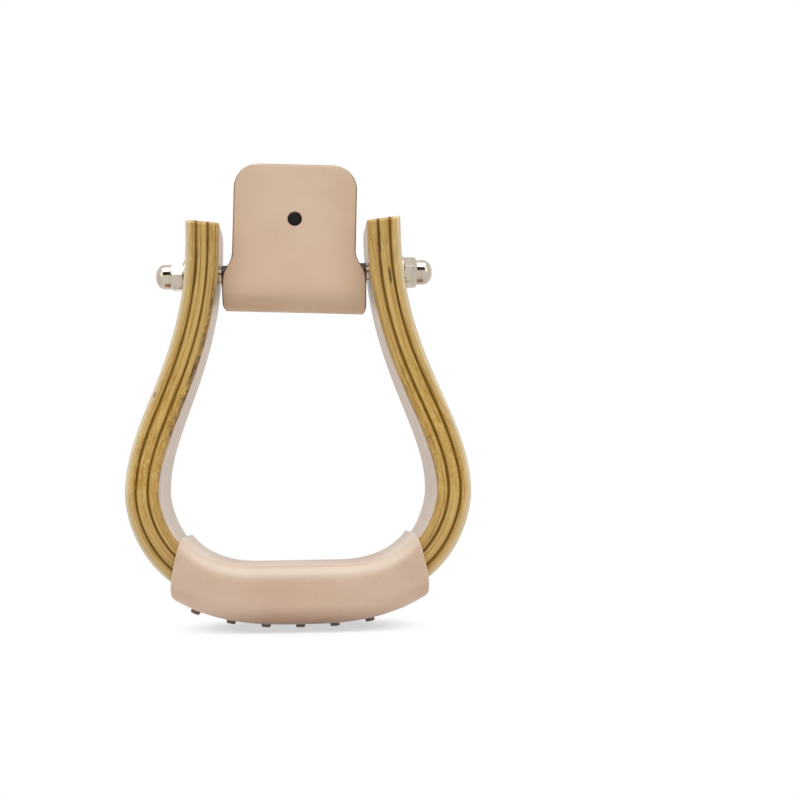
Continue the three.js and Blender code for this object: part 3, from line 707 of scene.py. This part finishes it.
def plain_washer():
    """A pressed washer round the X axis, its outer edge rounded on one side."""
    section = [(0, WASHER_HOLE), (0, WASHER_RADIUS - 0.25), (0.12, WASHER_RADIUS - 0.05),
               (0.5, WASHER_RADIUS), (1.1, WASHER_RADIUS), (1.45, WASHER_RADIUS - 0.15),
               (WASHER_THICKNESS, WASHER_RADIUS - 0.45), (WASHER_THICKNESS, WASHER_HOLE + 0.15),
               (WASHER_THICKNESS - 0.1, WASHER_HOLE)]
    rows = [[(WASHER_SEAT + x, r * math.cos(a), r * math.sin(a)) for x, r in section]
            for a in circle(72)]
    return loft("washer", np.array(rows) * MM, looped=True)


steel = steel_finish("polished steel")
both_ends = both_ends_tree()
for piece, source, nodes, right_turn, left_turn in (
        ("dome_nuts", dome_nut(), ("right_dome_nut", "left_dome_nut"), RIGHT_NUT_TURN,
         LEFT_NUT_TURN),
        ("washers", plain_washer(), ("right_washer", "left_washer"), 0.0, 0.0)):
    pair = run_tree(piece, source, both_ends, Height=BOLT_HEIGHT * MM, Right_turn=right_turn,
                    Left_turn=left_turn, Finish=steel)
    bpy.data.objects.remove(source)
    smooth(pair, 25)
    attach(pair, "bow")
    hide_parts(*nodes)
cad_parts["stirrup_bolt"].data.materials.clear()
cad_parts["stirrup_bolt"].data.materials.append(steel)


# The sleeve is a thin steel tube, painted dark brown, that rolls on the bolt where the strap
# bears. Its ends are cut square, and its paint has dulled.
SLEEVE_RADIUS, SLEEVE_BORE, SLEEVE_ROUND = 5.0, 4.25, 0.2
SLEEVE_END, SLEEVE_MIDWAY = 34.65, 20
SLEEVE_BROWN, SLEEVE_DULLED = colour(58, 36, 25), colour(80, 58, 46)
SLEEVE_PITS = (300, 300, 300), 4, 4, 0.5


def sleeve_finish(name):
    """Dark brown paint, dulled in patches and finely pitted."""
    material, tree, shader = new_finish(name, Metallic=0.0, IOR=1.5)
    dulled = speckle(tree, texture_place(tree), *SLEEVE_PITS)
    paint = mix(tree, span(tree, dulled, 0.4, 0.65), SLEEVE_BROWN, SLEEVE_DULLED)
    wire(tree, shader, paint, span(tree, dulled, 0.3, 0.7, 0.35, 0.55),
         Height=dulled, Strength=0.15, Distance=0.0003)
    return material


half = [(0, SLEEVE_RADIUS), (SLEEVE_MIDWAY, SLEEVE_RADIUS),
        (SLEEVE_END - SLEEVE_ROUND, SLEEVE_RADIUS),
        (SLEEVE_END, SLEEVE_RADIUS - SLEEVE_ROUND), (SLEEVE_END, SLEEVE_BORE)]
sleeve = turned_rod("sleeve_tube", [(-x, r) for x, r in half[:0:-1]] + half, sides=96)
sleeve.data.materials.append(sleeve_finish("brown sleeve paint"))
smooth(sleeve)
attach(sleeve, "sleeve")
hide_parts("bolt_sleeve")


# The neck leather is one strip of thick veg-tanned leather, folded under the sleeve so that its
# two ends stand together above the bolt. It flares to fill the neck, its cut edges are
# burnished, and a round hole is punched through its front layer.
FLAP_THICKNESS, FLAP_GAP, FLAP_SLEEVE_GAP = 2.4, 0.3, 0.3
FLAP_TOP, FLAP_FOOT = 51.9, 18.1
FLAP_WIDE, FLAP_NARROW = 34.2, 29.4
FLARE_LOW, FLARE_MIDDLE, FLARE_HIGH = -4.5, 3.5, 11.5
FLAP_TOP_RADIUS, FLAP_FOOT_RADIUS, FLAP_FOLD_RADIUS = 11.6, 3.6, 8.2
FLAP_EDGE, FLAP_EDGE_LEAST, FLAP_BURNISH = 0.75, 0.12, 0.7
FLAP_STRAIGHT, PINCH_PULL, FOLD_PULL, PINCH_TURN = 26, 9, 3, math.radians(12)
FLAP_LEAN = math.radians(4)
FLAP_SKEW, FLAP_SKEW_FROM, FLAP_SKEW_OVER = math.tan(math.radians(2.5)), 6.0, 12.0
FLAP_HOLE_HEIGHT, FLAP_HOLE_RADIUS, PUNCH_BACK, PUNCH_FRONT = 26.2, 3.5, 1.2, -9
# The first colour below is a painted highlight and the second painted shade; the hole's colour is
# painted shade too.
LEATHER_RIM_HIGHLIGHT, LEATHER_LOW_SHADE = colour(242, 230, 212), colour(142, 106, 80)
LEATHER_HOLE_SHADE = colour(40, 31, 27)
LEATHER_CLOUDS, LEATHER_FINE, LEATHER_CELLS = (22, 22, 22), (900, 900, 900), 1150.0
CUT_EDGE = 1.4


def flap_path():
    """The strip's middle line about the bolt, as rows of Y and Z, down the back layer, round
    the fold and up the front layer, and how far along it each point lies."""
    layer = (FLAP_GAP + FLAP_THICKNESS) / 2
    pinch = np.array((math.cos(PINCH_TURN), math.sin(PINCH_TURN)))
    seat = (SLEEVE_RADIUS + FLAP_SLEEVE_GAP + FLAP_THICKNESS / 2) * pinch
    down = np.array((pinch[1], -pinch[0]))
    loop, foot = FLAP_FOLD_RADIUS, FLAP_THICKNESS / 2 + FLAP_FOLD_RADIUS - FLAP_FOOT
    upper = bezier((layer, FLAP_TOP), (layer, FLAP_TOP - FLAP_STRAIGHT),
                   seat - PINCH_PULL * down, seat)
    lower = bezier(seat, seat + FOLD_PULL * down, (loop, foot + FOLD_PULL), (loop, foot))
    turn = np.linspace(0, math.pi / 2, 200)
    fold = np.stack([loop * np.cos(turn), foot - loop * np.sin(turn)], 1)
    half = np.vstack([upper, lower[1:], fold[1:]])
    line = np.vstack([half, half[-2::-1] * (-1, 1)])
    length = run_of(line)[-1]
    steps = np.linspace(0, length, int(length / 0.5))
    return at_steps(steps, line), steps


def flap_half_width(height):
    """Half the strip's width at a height about the bolt."""
    flare = bezier((FLAP_WIDE, FLARE_LOW), (FLAP_WIDE, FLARE_MIDDLE), (FLAP_NARROW, FLARE_MIDDLE),
                   (FLAP_NARROW, FLARE_HIGH))
    width = np.interp(height, flare[:, 1], flare[:, 0])
    for radius, end in ((FLAP_TOP_RADIUS, FLAP_TOP - height),
                        (FLAP_FOOT_RADIUS, FLAP_FOOT + height)):
        past = np.clip(radius - end, 0, radius)
        width = width - radius + np.sqrt(radius ** 2 - past ** 2)
    return width


def hung(points):
    """Points of the strip's square shape as it really hangs: cut and folded a little out of
    square, but true beside the sleeve, leaning forwards, and on the bolt."""
    x, y, z = np.moveaxis(points, -1, 0)
    part = np.clip((np.abs(z) - FLAP_SKEW_FROM) / FLAP_SKEW_OVER, 0, 1)
    across = x + FLAP_SKEW * np.maximum(z - FLAP_SKEW_FROM, 0)
    up = z - FLAP_SKEW * x * (1 - np.cos(math.pi * part)) / 2
    lean = np.array([[1, 0, 0], [0, math.cos(FLAP_LEAN), math.sin(FLAP_LEAN)],
                     [0, -math.sin(FLAP_LEAN), math.cos(FLAP_LEAN)]])
    return np.stack([across, y, up], -1) @ lean + (0, 0, BOLT_HEIGHT)


def strip_section(half_width, thick):
    """The strip's section, its edges rubbed round, as rows of place across and through."""
    edge = min(FLAP_EDGE, thick)
    points = []
    for side in (1, -1):
        for angle in np.radians(np.linspace(-90, 90, 9)):
            across = half_width - edge + edge * math.cos(angle)
            points.append((side * across, side * thick * math.sin(angle)))
        points += [(x * side, side * thick) for x in np.linspace(1, -1, 26)[1:-1]
                   * (half_width - edge)]
    return np.array(points)


def rubbed_half(thickness, end, edge, least):
    """Half a leather's thickness at a distance from its end, where the end is rubbed round."""
    return thickness / 2 * math.sqrt(max(least, 1 - (1 - min(end, edge) / edge) ** 2))


def mark_edges(made, values):
    """Keeps on a leather's points how near they lie to a cut edge, for its finish."""
    kept = made.data.attributes.new("edge", "FLOAT", "POINT")
    kept.data.foreach_set("value", np.array(values, np.float32).ravel())


def leather_finish(name, seed, tones, rough, rim_highlight_share=0.0, hole=None):
    """Natural veg-tanned leather: clouded colour, fine pores, painted shade low down, with
    burnished cut edges where the edge attribute is high. The tones are pale, middle, deep, the cut
    edge's corner and the cut edge. The share after the roughness is how strong a painted highlight
    is over an upper rim, and a hole, if given, is painted dark with shade."""
    pale, middle, deep, cut_corner, cut = [colour(*tone) for tone in tones]
    material, tree, shader = new_finish(name, IOR=1.45, Specular_IOR_Level=0.45)
    place = texture_place(tree)
    clouds = speckle(tree, place, LEATHER_CLOUDS, 3, seed, 0.45)
    fine = speckle(tree, place, LEATHER_FINE, 4, seed + 2, 0.6)
    cells = add(tree, "ShaderNodeTexVoronoi", {"Vector": place, "Scale": LEATHER_CELLS},
                feature="SMOOTH_F1").outputs["Distance"]
    hide = mix(tree, span(tree, clouds, 0.3, 0.7), middle, pale)
    hide = mix(tree, span(tree, fine, 0.5, 0.8, 0, 0.25), hide, deep)
    # Painted highlight: upper rims, whose faces look partly upwards, are painted paler.
    upward = parts_of(tree, texture_place(tree, "Normal"))[2]
    leather_rim_highlight = product(tree, span(tree, upward, 0.1, 0.5), span(tree, upward, 0.98, 0.85), rim_highlight_share)
    hide = mix(tree, leather_rim_highlight, hide, LEATHER_RIM_HIGHLIGHT)
    edge = carried(tree, "edge", "Fac")
    hide = mix(tree, span(tree, edge, 0.3, 0.9), hide, cut_corner)
    hide = mix(tree, span(tree, edge, 1.05, 1.3), hide, cut)
    # Painted shade: the leather is darker low down, near the floor.
    low = parts_of(tree, place)[2]
    low_shade = product(tree, span(tree, low, 0.013, 0.003), span(tree, clouds, 0.3, 0.7, 0.8, 0.5))
    hide = mix(tree, low_shade, hide, LEATHER_LOW_SHADE)
    # Painted shade in the hole and on the back layer behind it.
    if hole:
        far = vector_math(tree, "SUBTRACT", place, hole)
        reach = length_of(tree, vector_math(tree, "MULTIPLY", far, (1, 0, 1)))
        dark = product(tree, span(tree, reach, 0.0041, 0.0034),
                       span(tree, parts_of(tree, far)[1], 0.0002, 0.0012))
        hide = mix(tree, dark, hide, LEATHER_HOLE_SHADE)
    height = number_math(tree, "ADD", product(tree, cells, 0.5), fine)
    wire(tree, shader, hide, span(tree, fine, 0.3, 0.7, rough, rough + 0.13),
         Height=height, Strength=0.16, Distance=0.0002)
    return material


line, run = flap_path()
way = unit_ways(line, run)
out = np.stack([-way[:, 1], way[:, 0]], 1)
ends = np.minimum(run, run[-1] - run)
rows, edges = [], []
for p, o, end in zip(line, out, ends):
    thick = rubbed_half(FLAP_THICKNESS, end, FLAP_EDGE, FLAP_EDGE_LEAST)
    outer = p + o * FLAP_THICKNESS / 2 * (1 if o @ p < 0 else -1)
    half_width = float(flap_half_width(np.array(min(outer[1], p[1]))))
    section = strip_section(half_width, thick)
    rows.append(np.column_stack([section[:, 0], p + section[:, 1:] * o]))
    inward = (half_width - np.abs(section[:, 0])) / FLAP_BURNISH
    edges.append(np.clip(CUT_EDGE - inward, 0, CUT_EDGE) + CUT_EDGE * (end < 0.5))
flap = loft("neck_leather_strip", hung(np.array(rows)) * MM)
mark_edges(flap, np.clip(edges, 0, CUT_EDGE))
hole_middle = hung(np.array((0, -(FLAP_GAP + FLAP_THICKNESS) / 2 - 0.6, FLAP_HOLE_HEIGHT)))
angle = circle(48)
saw(flap, loft("punch", [
    hung(np.stack([FLAP_HOLE_RADIUS * np.cos(angle), np.full(48, y),
                   FLAP_HOLE_HEIGHT + FLAP_HOLE_RADIUS * np.sin(angle)], 1)) * MM
    for y in (PUNCH_FRONT, PUNCH_BACK)]))
neck_tones = (224, 199, 173), (214, 185, 157), (196, 162, 134), (118, 80, 54), (204, 166, 126)
flap.data.materials.append(
    leather_finish("neck leather", 11, neck_tones, 0.42, hole=tuple(hole_middle * MM)))
smooth(flap, 50)
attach(flap, "flap")
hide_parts("neck_leather")


# The tread leather is one sheet of the same leather, wetted, wrapped round the tread and pulled
# together through slots along a seam underneath. It hugs the wood's edges and hangs a little
# slack under it. Its upper rims carry a painted highlight.
WRAP_THICKNESS, WRAP_DEPTH, WRAP_GAP = 2.3, 76.0, 0.3
WRAP_TOP_HALF, WRAP_FOOT_HALF = 58.0, 57.75
WRAP_FOOT_LOW, WRAP_FOOT_RISE, WRAP_FOOT_BEND = 3.4, 12.5, 2.8
WRAP_END_BOW, WRAP_END_SKEW = 1.9, 0.6
WRAP_TOP_RADIUS, WRAP_TOP_DROP, WRAP_FOOT_RADIUS = 6.2, 9.0, 9.0
WRAP_EDGE, WRAP_EDGE_LEAST, WRAP_END_SHARE = 0.6, 0.15, 0.99
SEAM_GAP, SEAM_LIFT, SEAM_LIP = 0.8, 0.6, 9.0
SLOT_PAIRS, SLOT_PITCH, SLOT_SPAN, SLOT_LENGTH, SLOT_WIDTH = 7, 16.2, 24.0, 5.0, 2.3


def wrap_foot(share):
    """The height of the sheet's underside at a share of its half length."""
    return WRAP_FOOT_LOW + WRAP_FOOT_RISE * np.abs(share) ** WRAP_FOOT_BEND


def wrap_top(share):
    """A place on the sheet's top line, which lies along the bow's inner face."""
    near_side = np.sign(share) * stations["along"] >= 0
    out = BOW_THICKNESS / 2 + WRAP_GAP + WRAP_THICKNESS
    line = (stations["place"] - stations["out_way"] * out)[near_side]
    line = line[np.argsort(np.abs(stations["along"][near_side]))]
    x, z = at_steps(abs(share) * WRAP_TOP_HALF, line)
    return np.array((x, 0, z))


def wrap_bow(share, part):
    """How far the sheet bows outwards at a part of its height, so that its ends bulge."""
    part = np.clip(part, 0, 1) ** WRAP_END_SKEW
    return share * WRAP_END_BOW * 4 * part * (1 - part)


def ease(part):
    """From 1 to 0 over a part that goes from 0 to 1, level at both ends."""
    return (1 + np.cos(math.pi * part)) / 2


def turned_corner(x, y, across, up, low, high, count=9):
    """A rounded corner about a middle, from one angle to another in degrees."""
    angle = np.radians(np.linspace(low, high, count))
    return np.stack([x + across * np.cos(angle), y + up * np.sin(angle)], 1)


def wrap_section(half_height, thick):
    """The sheet's two faces round the tread, from one edge of the seam to the other, as rows of
    Y and the height about the middle."""
    side = (WRAP_DEPTH - WRAP_THICKNESS) / 2
    top = half_height - WRAP_THICKNESS / 2
    high, low = WRAP_TOP_RADIUS - WRAP_THICKNESS / 2, WRAP_FOOT_RADIUS - WRAP_THICKNESS / 2
    drop = WRAP_TOP_DROP - WRAP_THICKNESS / 2
    part = np.linspace(0, 1, 8)
    lip = np.stack([SEAM_GAP / 2 + (SEAM_LIP - SEAM_GAP / 2) * part,
                    SEAM_LIFT * ease(part) - top], 1)
    under = np.stack([np.linspace(SEAM_LIP, side - low, 12), np.full(12, -top)], 1)
    wall = np.stack([np.full(8, side), np.linspace(low - top, top - drop, 8)], 1)
    over = np.stack([np.linspace(side - high, 0, 18), np.full(18, top)], 1)
    half = np.vstack([lip, under[1:-1],
                      turned_corner(side - low, low - top, low, low, -90, 0), wall[1:-1],
                      turned_corner(side - high, top - drop, high, drop, 0, 90), over[1:]])
    line = np.vstack([half, half[-2::-1] * (-1, 1)])
    way = unit_ways(line)
    out = np.stack([way[:, 1], -way[:, 0]], 1)
    return np.vstack([line + out * thick, (line - out * thick)[::-1]])


def slot_frame(x):
    """Where two slots face each other across the seam: the middle between them, the way along
    the leather, and the way square to it."""
    share, beside = x / WRAP_FOOT_HALF, 0.01
    rise = wrap_foot(share + beside) - wrap_foot(share - beside)
    rise /= 2 * beside * WRAP_FOOT_HALF
    along = np.array((1, 0, rise)) / math.hypot(1, rise)
    return np.array((x, 0, wrap_foot(share))), along, np.array((-along[2], 0, along[0]))


shares = np.concatenate([np.linspace(-1, -WRAP_END_SHARE, 6)[:-1],
                         np.linspace(-WRAP_END_SHARE, WRAP_END_SHARE, 150),
                         np.linspace(WRAP_END_SHARE, 1, 6)[1:]])
rows, edges = [], []
for share in shares:
    top = wrap_top(share)
    foot = np.array((share * WRAP_FOOT_HALF, 0, wrap_foot(share)))
    half_height = np.linalg.norm(top - foot) / 2
    up = (top - foot) / (2 * half_height)
    end = (1 - abs(share)) * WRAP_FOOT_HALF
    section = wrap_section(half_height,
                           rubbed_half(WRAP_THICKNESS, end, WRAP_EDGE, WRAP_EDGE_LEAST))
    bow = wrap_bow(share, section[:, 1:] / half_height / 2 + 0.5)
    rows.append((top + foot) / 2 + section[:, 1:] * up + section[:, :1] * (0, 1, 0)
                + bow * (1, 0, 0))
    edges.append(np.full(len(section), CUT_EDGE * (end < 0.5)))
wrap = loft("tread_leather_sheet", np.array(rows) * MM)
mark_edges(wrap, edges)
tread_tones = (224, 196, 173), (212, 182, 158), (190, 157, 132), (214, 182, 152), (232, 208, 182)
# With a painted highlight on its upper rims.
wrap.data.materials.append(leather_finish("tread leather", 23, tread_tones, 0.31, rim_highlight_share=0.5))
slot_places = (np.arange(SLOT_PAIRS) - (SLOT_PAIRS - 1) / 2) * SLOT_PITCH
slots = bmesh.new()
for x in slot_places:
    middle, along, up = slot_frame(x)
    for side in (-1, 1):
        for v in bmesh.ops.create_cube(slots, size=1)["verts"]:
            reach = (along * v.co.x * SLOT_LENGTH
                     + np.array((0, 1, 0)) * v.co.y * SLOT_WIDTH
                     + up * v.co.z * 4 * WRAP_THICKNESS)
            v.co = Vector((middle + reach + (0, side * SLOT_SPAN / 2, 0)) * MM)
slot_mesh = bpy.data.meshes.new("slot punch")
slots.to_mesh(slot_mesh)
slots.free()
saw(wrap, placed("slot punch", slot_mesh))
smooth(wrap, 50)
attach(wrap, "bow")
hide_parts("tread_leather")


# The lace is one flat thong of the same leather. It comes down through a slot in one edge of the
# seam, crosses under it in a slack bow, goes up through the slot in the other edge and runs
# back inside to the next crossing.
LACE_WIDTH, LACE_THICKNESS, LACE_ROUND, LACE_GAP = 4.4, 1.7, 0.8, 0.3
LACE_BOW, LACE_BOW_MOST, LACE_TIGHT_BOW, LACE_SLACK, LACE_FLAT = 1.4, 4.1, 0.3, 0.1, 12.0
LACE_BEND, LACE_TAIL, LACE_RETURN = 0.35, 6, 0.3


def lace_line():
    """The thong's line, with the way across its width at each point."""
    hole, turn = SLOT_SPAN / 2, LACE_THICKNESS / 2 + LACE_BEND
    inside = WRAP_THICKNESS + LACE_GAP + LACE_THICKNESS / 2
    outside = -LACE_GAP - LACE_THICKNESS / 2
    down = np.vstack([turned_corner(hole - turn, inside - turn, turn, turn, 90, 0, 8),
                      turned_corner(hole - turn, outside + turn, turn, turn, 0, -90, 8)])
    part = np.linspace(0, 1, 12)[1:]
    points = []

    def put(x, rows):
        middle, along, up = slot_frame(x)
        points.extend((middle + up * z + (0, y, 0), along) for y, z in rows)

    put(slot_places[0], [(LACE_TAIL - hole, inside + SEAM_LIFT)])
    for x in slot_places:
        last = x == slot_places[-1]
        slack = LACE_SLACK * (wrap_foot(x / WRAP_FOOT_HALF) - WRAP_FOOT_LOW)
        bow = LACE_TIGHT_BOW if last else min(LACE_BOW + slack, LACE_BOW_MOST)
        sag = np.stack([hole - turn + (LACE_FLAT / 2 - hole + turn) * part,
                        outside - bow * (1 - ease(part))], 1)
        half = np.vstack([down, sag])
        put(x, half * (-1, 1))
        put(x, half[::-1])
        if not last:
            put(x + LACE_RETURN * SLOT_PITCH, [(SEAM_LIP / 2, inside + SEAM_LIFT)])
            put(x + (1 - LACE_RETURN) * SLOT_PITCH, [(-SEAM_LIP / 2, inside + SEAM_LIFT)])
    put(slot_places[-1], [(hole - LACE_TAIL, inside + SEAM_LIFT)])
    return np.array([p for p, _ in points]), np.array([a for _, a in points])


def thong_tree():
    """Sweeps a rounded flat section along the thong's line. Sizes are in metres."""
    tree, given = new_tree("thong", Line="Geometry", Width="Float", Thickness="Float",
                           Corner="Float")
    flat_shape = add(tree, "GeometryNodeCurvePrimitiveQuadrilateral",
                     {"Width": given["Width"], "Height": given["Thickness"]})
    rounded = add(tree, "GeometryNodeFilletCurve",
                  {"Curve": flat_shape.outputs[0], "Radius": given["Corner"], "Count": 3},
                  mode="POLY")
    spot = add(tree, "GeometryNodeInputPosition").outputs[0]
    swept = swept_along(tree, given["Line"], store(tree, rounded.outputs[0], "section", spot))
    x, y, _ = parts_of(tree, stored(tree, "section"))
    place = stored(tree, "place")
    for name, distance in (("across", x), ("square", y)):
        step = vector_math(tree, "SCALE", stored(tree, name), distance)
        place = vector_math(tree, "ADD", place, step)
    return end_tree(tree, swept, given["Finish"], place)


line, across = lace_line()
square = np.cross(np.gradient(line, axis=0), across)
square /= np.linalg.norm(square, axis=1)[:, None]
thong = line_object("thong line", line * MM, False, place=line * MM, across=across, square=square)
# The thong's tones are the leather's darkened by painted shade, for it lies under the tread.
thong_tones_shaded = (150, 116, 84), (124, 92, 64), (92, 64, 42), (92, 64, 42), (124, 92, 64)
lace = run_tree("lace_thong", thong, thong_tree(), Width=LACE_WIDTH * MM,
                Thickness=LACE_THICKNESS * MM, Corner=LACE_ROUND * MM,
                Finish=leather_finish("thong leather", 31, thong_tones_shaded, 0.42))
bpy.data.objects.remove(thong)
face_outwards(lace)
smooth(lace, 50)
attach(lace, "bow")
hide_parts("tread_lace")


# The floor and backdrop are one white sheet. The light is a soft box overhead and two weaker ones
# in front, as for a picture of goods on a white ground, and a dark card stands behind and above
# the camera, where only the metal shows it.
FLOOR_SIDE, FLOOR_FRONT, FLOOR_BACK = 4, -2, 6
WHITE, SKY_LIGHT = (1, 1, 1, 1), 0.375
# The paper's colour, and how far away it goes from how plain to how plain a white.
PAPER, PAPER_SHADE = (0.93, 0.93, 0.93, 1), (0.03, 0.065, 0.6, 1)
CARD_SIDE, CARD_PLACE, CARD_LOW, CARD_HIGH = 1.2, -1.6, 0.5, 2.5
LIT_PLACE = (0, 0, 0.1)


def plainly_seen(tree):
    """1 for what the camera sees straight, in the metal or through a piece, and otherwise 0."""
    ray = add(tree, "ShaderNodeLightPath").outputs
    seen = number_math(tree, "MAXIMUM", ray["Is Camera Ray"], ray["Is Glossy Ray"])
    return number_math(tree, "MAXIMUM", seen, ray["Is Transmission Ray"])


def paper_finish(name):
    """White paper under the stirrup. Away from it the paper shows as plain white to the camera
    and in the metal, so that it has no far edge."""
    material, tree, shader = new_finish(name, Roughness=0.9, Specular_IOR_Level=0.2,
                                        Base_Color=PAPER)
    away = length_of(tree, texture_place(tree))
    share = product(tree, plainly_seen(tree), span(tree, away, *PAPER_SHADE))
    bright = add(tree, "ShaderNodeEmission", {"Color": WHITE, "Strength": 1.0})
    either = add(tree, "ShaderNodeMixShader",
                 {0: share, 1: shader.outputs[0], 2: bright.outputs[0]})
    out = next(n for n in tree.nodes if n.type == "OUTPUT_MATERIAL")
    tree.links.new(either.outputs[0], out.inputs["Surface"])
    return material


def stage_sheet(name, corners, finish):
    """A flat sheet that only dresses the stage."""
    mesh = bpy.data.meshes.new(name)
    mesh.from_pydata(corners, [], [(0, 1, 2, 3)])
    mesh.materials.append(finish)
    placed(name, mesh)


stage_sheet("floor", [(-FLOOR_SIDE, FLOOR_FRONT, 0), (FLOOR_SIDE, FLOOR_FRONT, 0),
                      (FLOOR_SIDE, FLOOR_BACK, 0), (-FLOOR_SIDE, FLOOR_BACK, 0)],
            paper_finish("white floor"))
stage_sheet("dark card", [(-CARD_SIDE, CARD_PLACE, CARD_LOW), (CARD_SIDE, CARD_PLACE, CARD_LOW),
                          (CARD_SIDE, CARD_PLACE, CARD_HIGH), (-CARD_SIDE, CARD_PLACE, CARD_HIGH)],
            new_finish("dark card", Roughness=0.9, Base_Color=colour(40, 36, 34))[0])

scene.world = bpy.data.worlds.new("studio")
scene.world.use_nodes = True
sky = scene.world.node_tree
sky.nodes.clear()
plain = add(sky, "ShaderNodeBackground", {"Color": WHITE, "Strength": SKY_LIGHT})
shown = add(sky, "ShaderNodeBackground", {"Color": WHITE, "Strength": 1.0})
either = add(sky, "ShaderNodeMixShader",
             {0: plainly_seen(sky), 1: plain.outputs[0], 2: shown.outputs[0]})
add(sky, "ShaderNodeOutputWorld", {"Surface": either.outputs[0]})

for name, place, size, power in (
        ("overhead box", (0, -0.38, 1.05), (1.2, 0.8), 8.4),
        ("left box", (-0.9, -0.9, 0.6), (0.6, 0.8), 1.5),
        ("right box", (0.9, -0.9, 0.6), (0.6, 0.8), 1.5)):
    light = bpy.data.lights.new(name, "AREA")
    light.shape = "RECTANGLE"
    light.size, light.size_y = size
    light.energy = power
    lamp = placed(name, light)
    lamp.location = place
    way = Vector(LIT_PLACE) - Vector(place)
    lamp.rotation_euler = way.to_track_quat("-Z", "Y").to_euler()
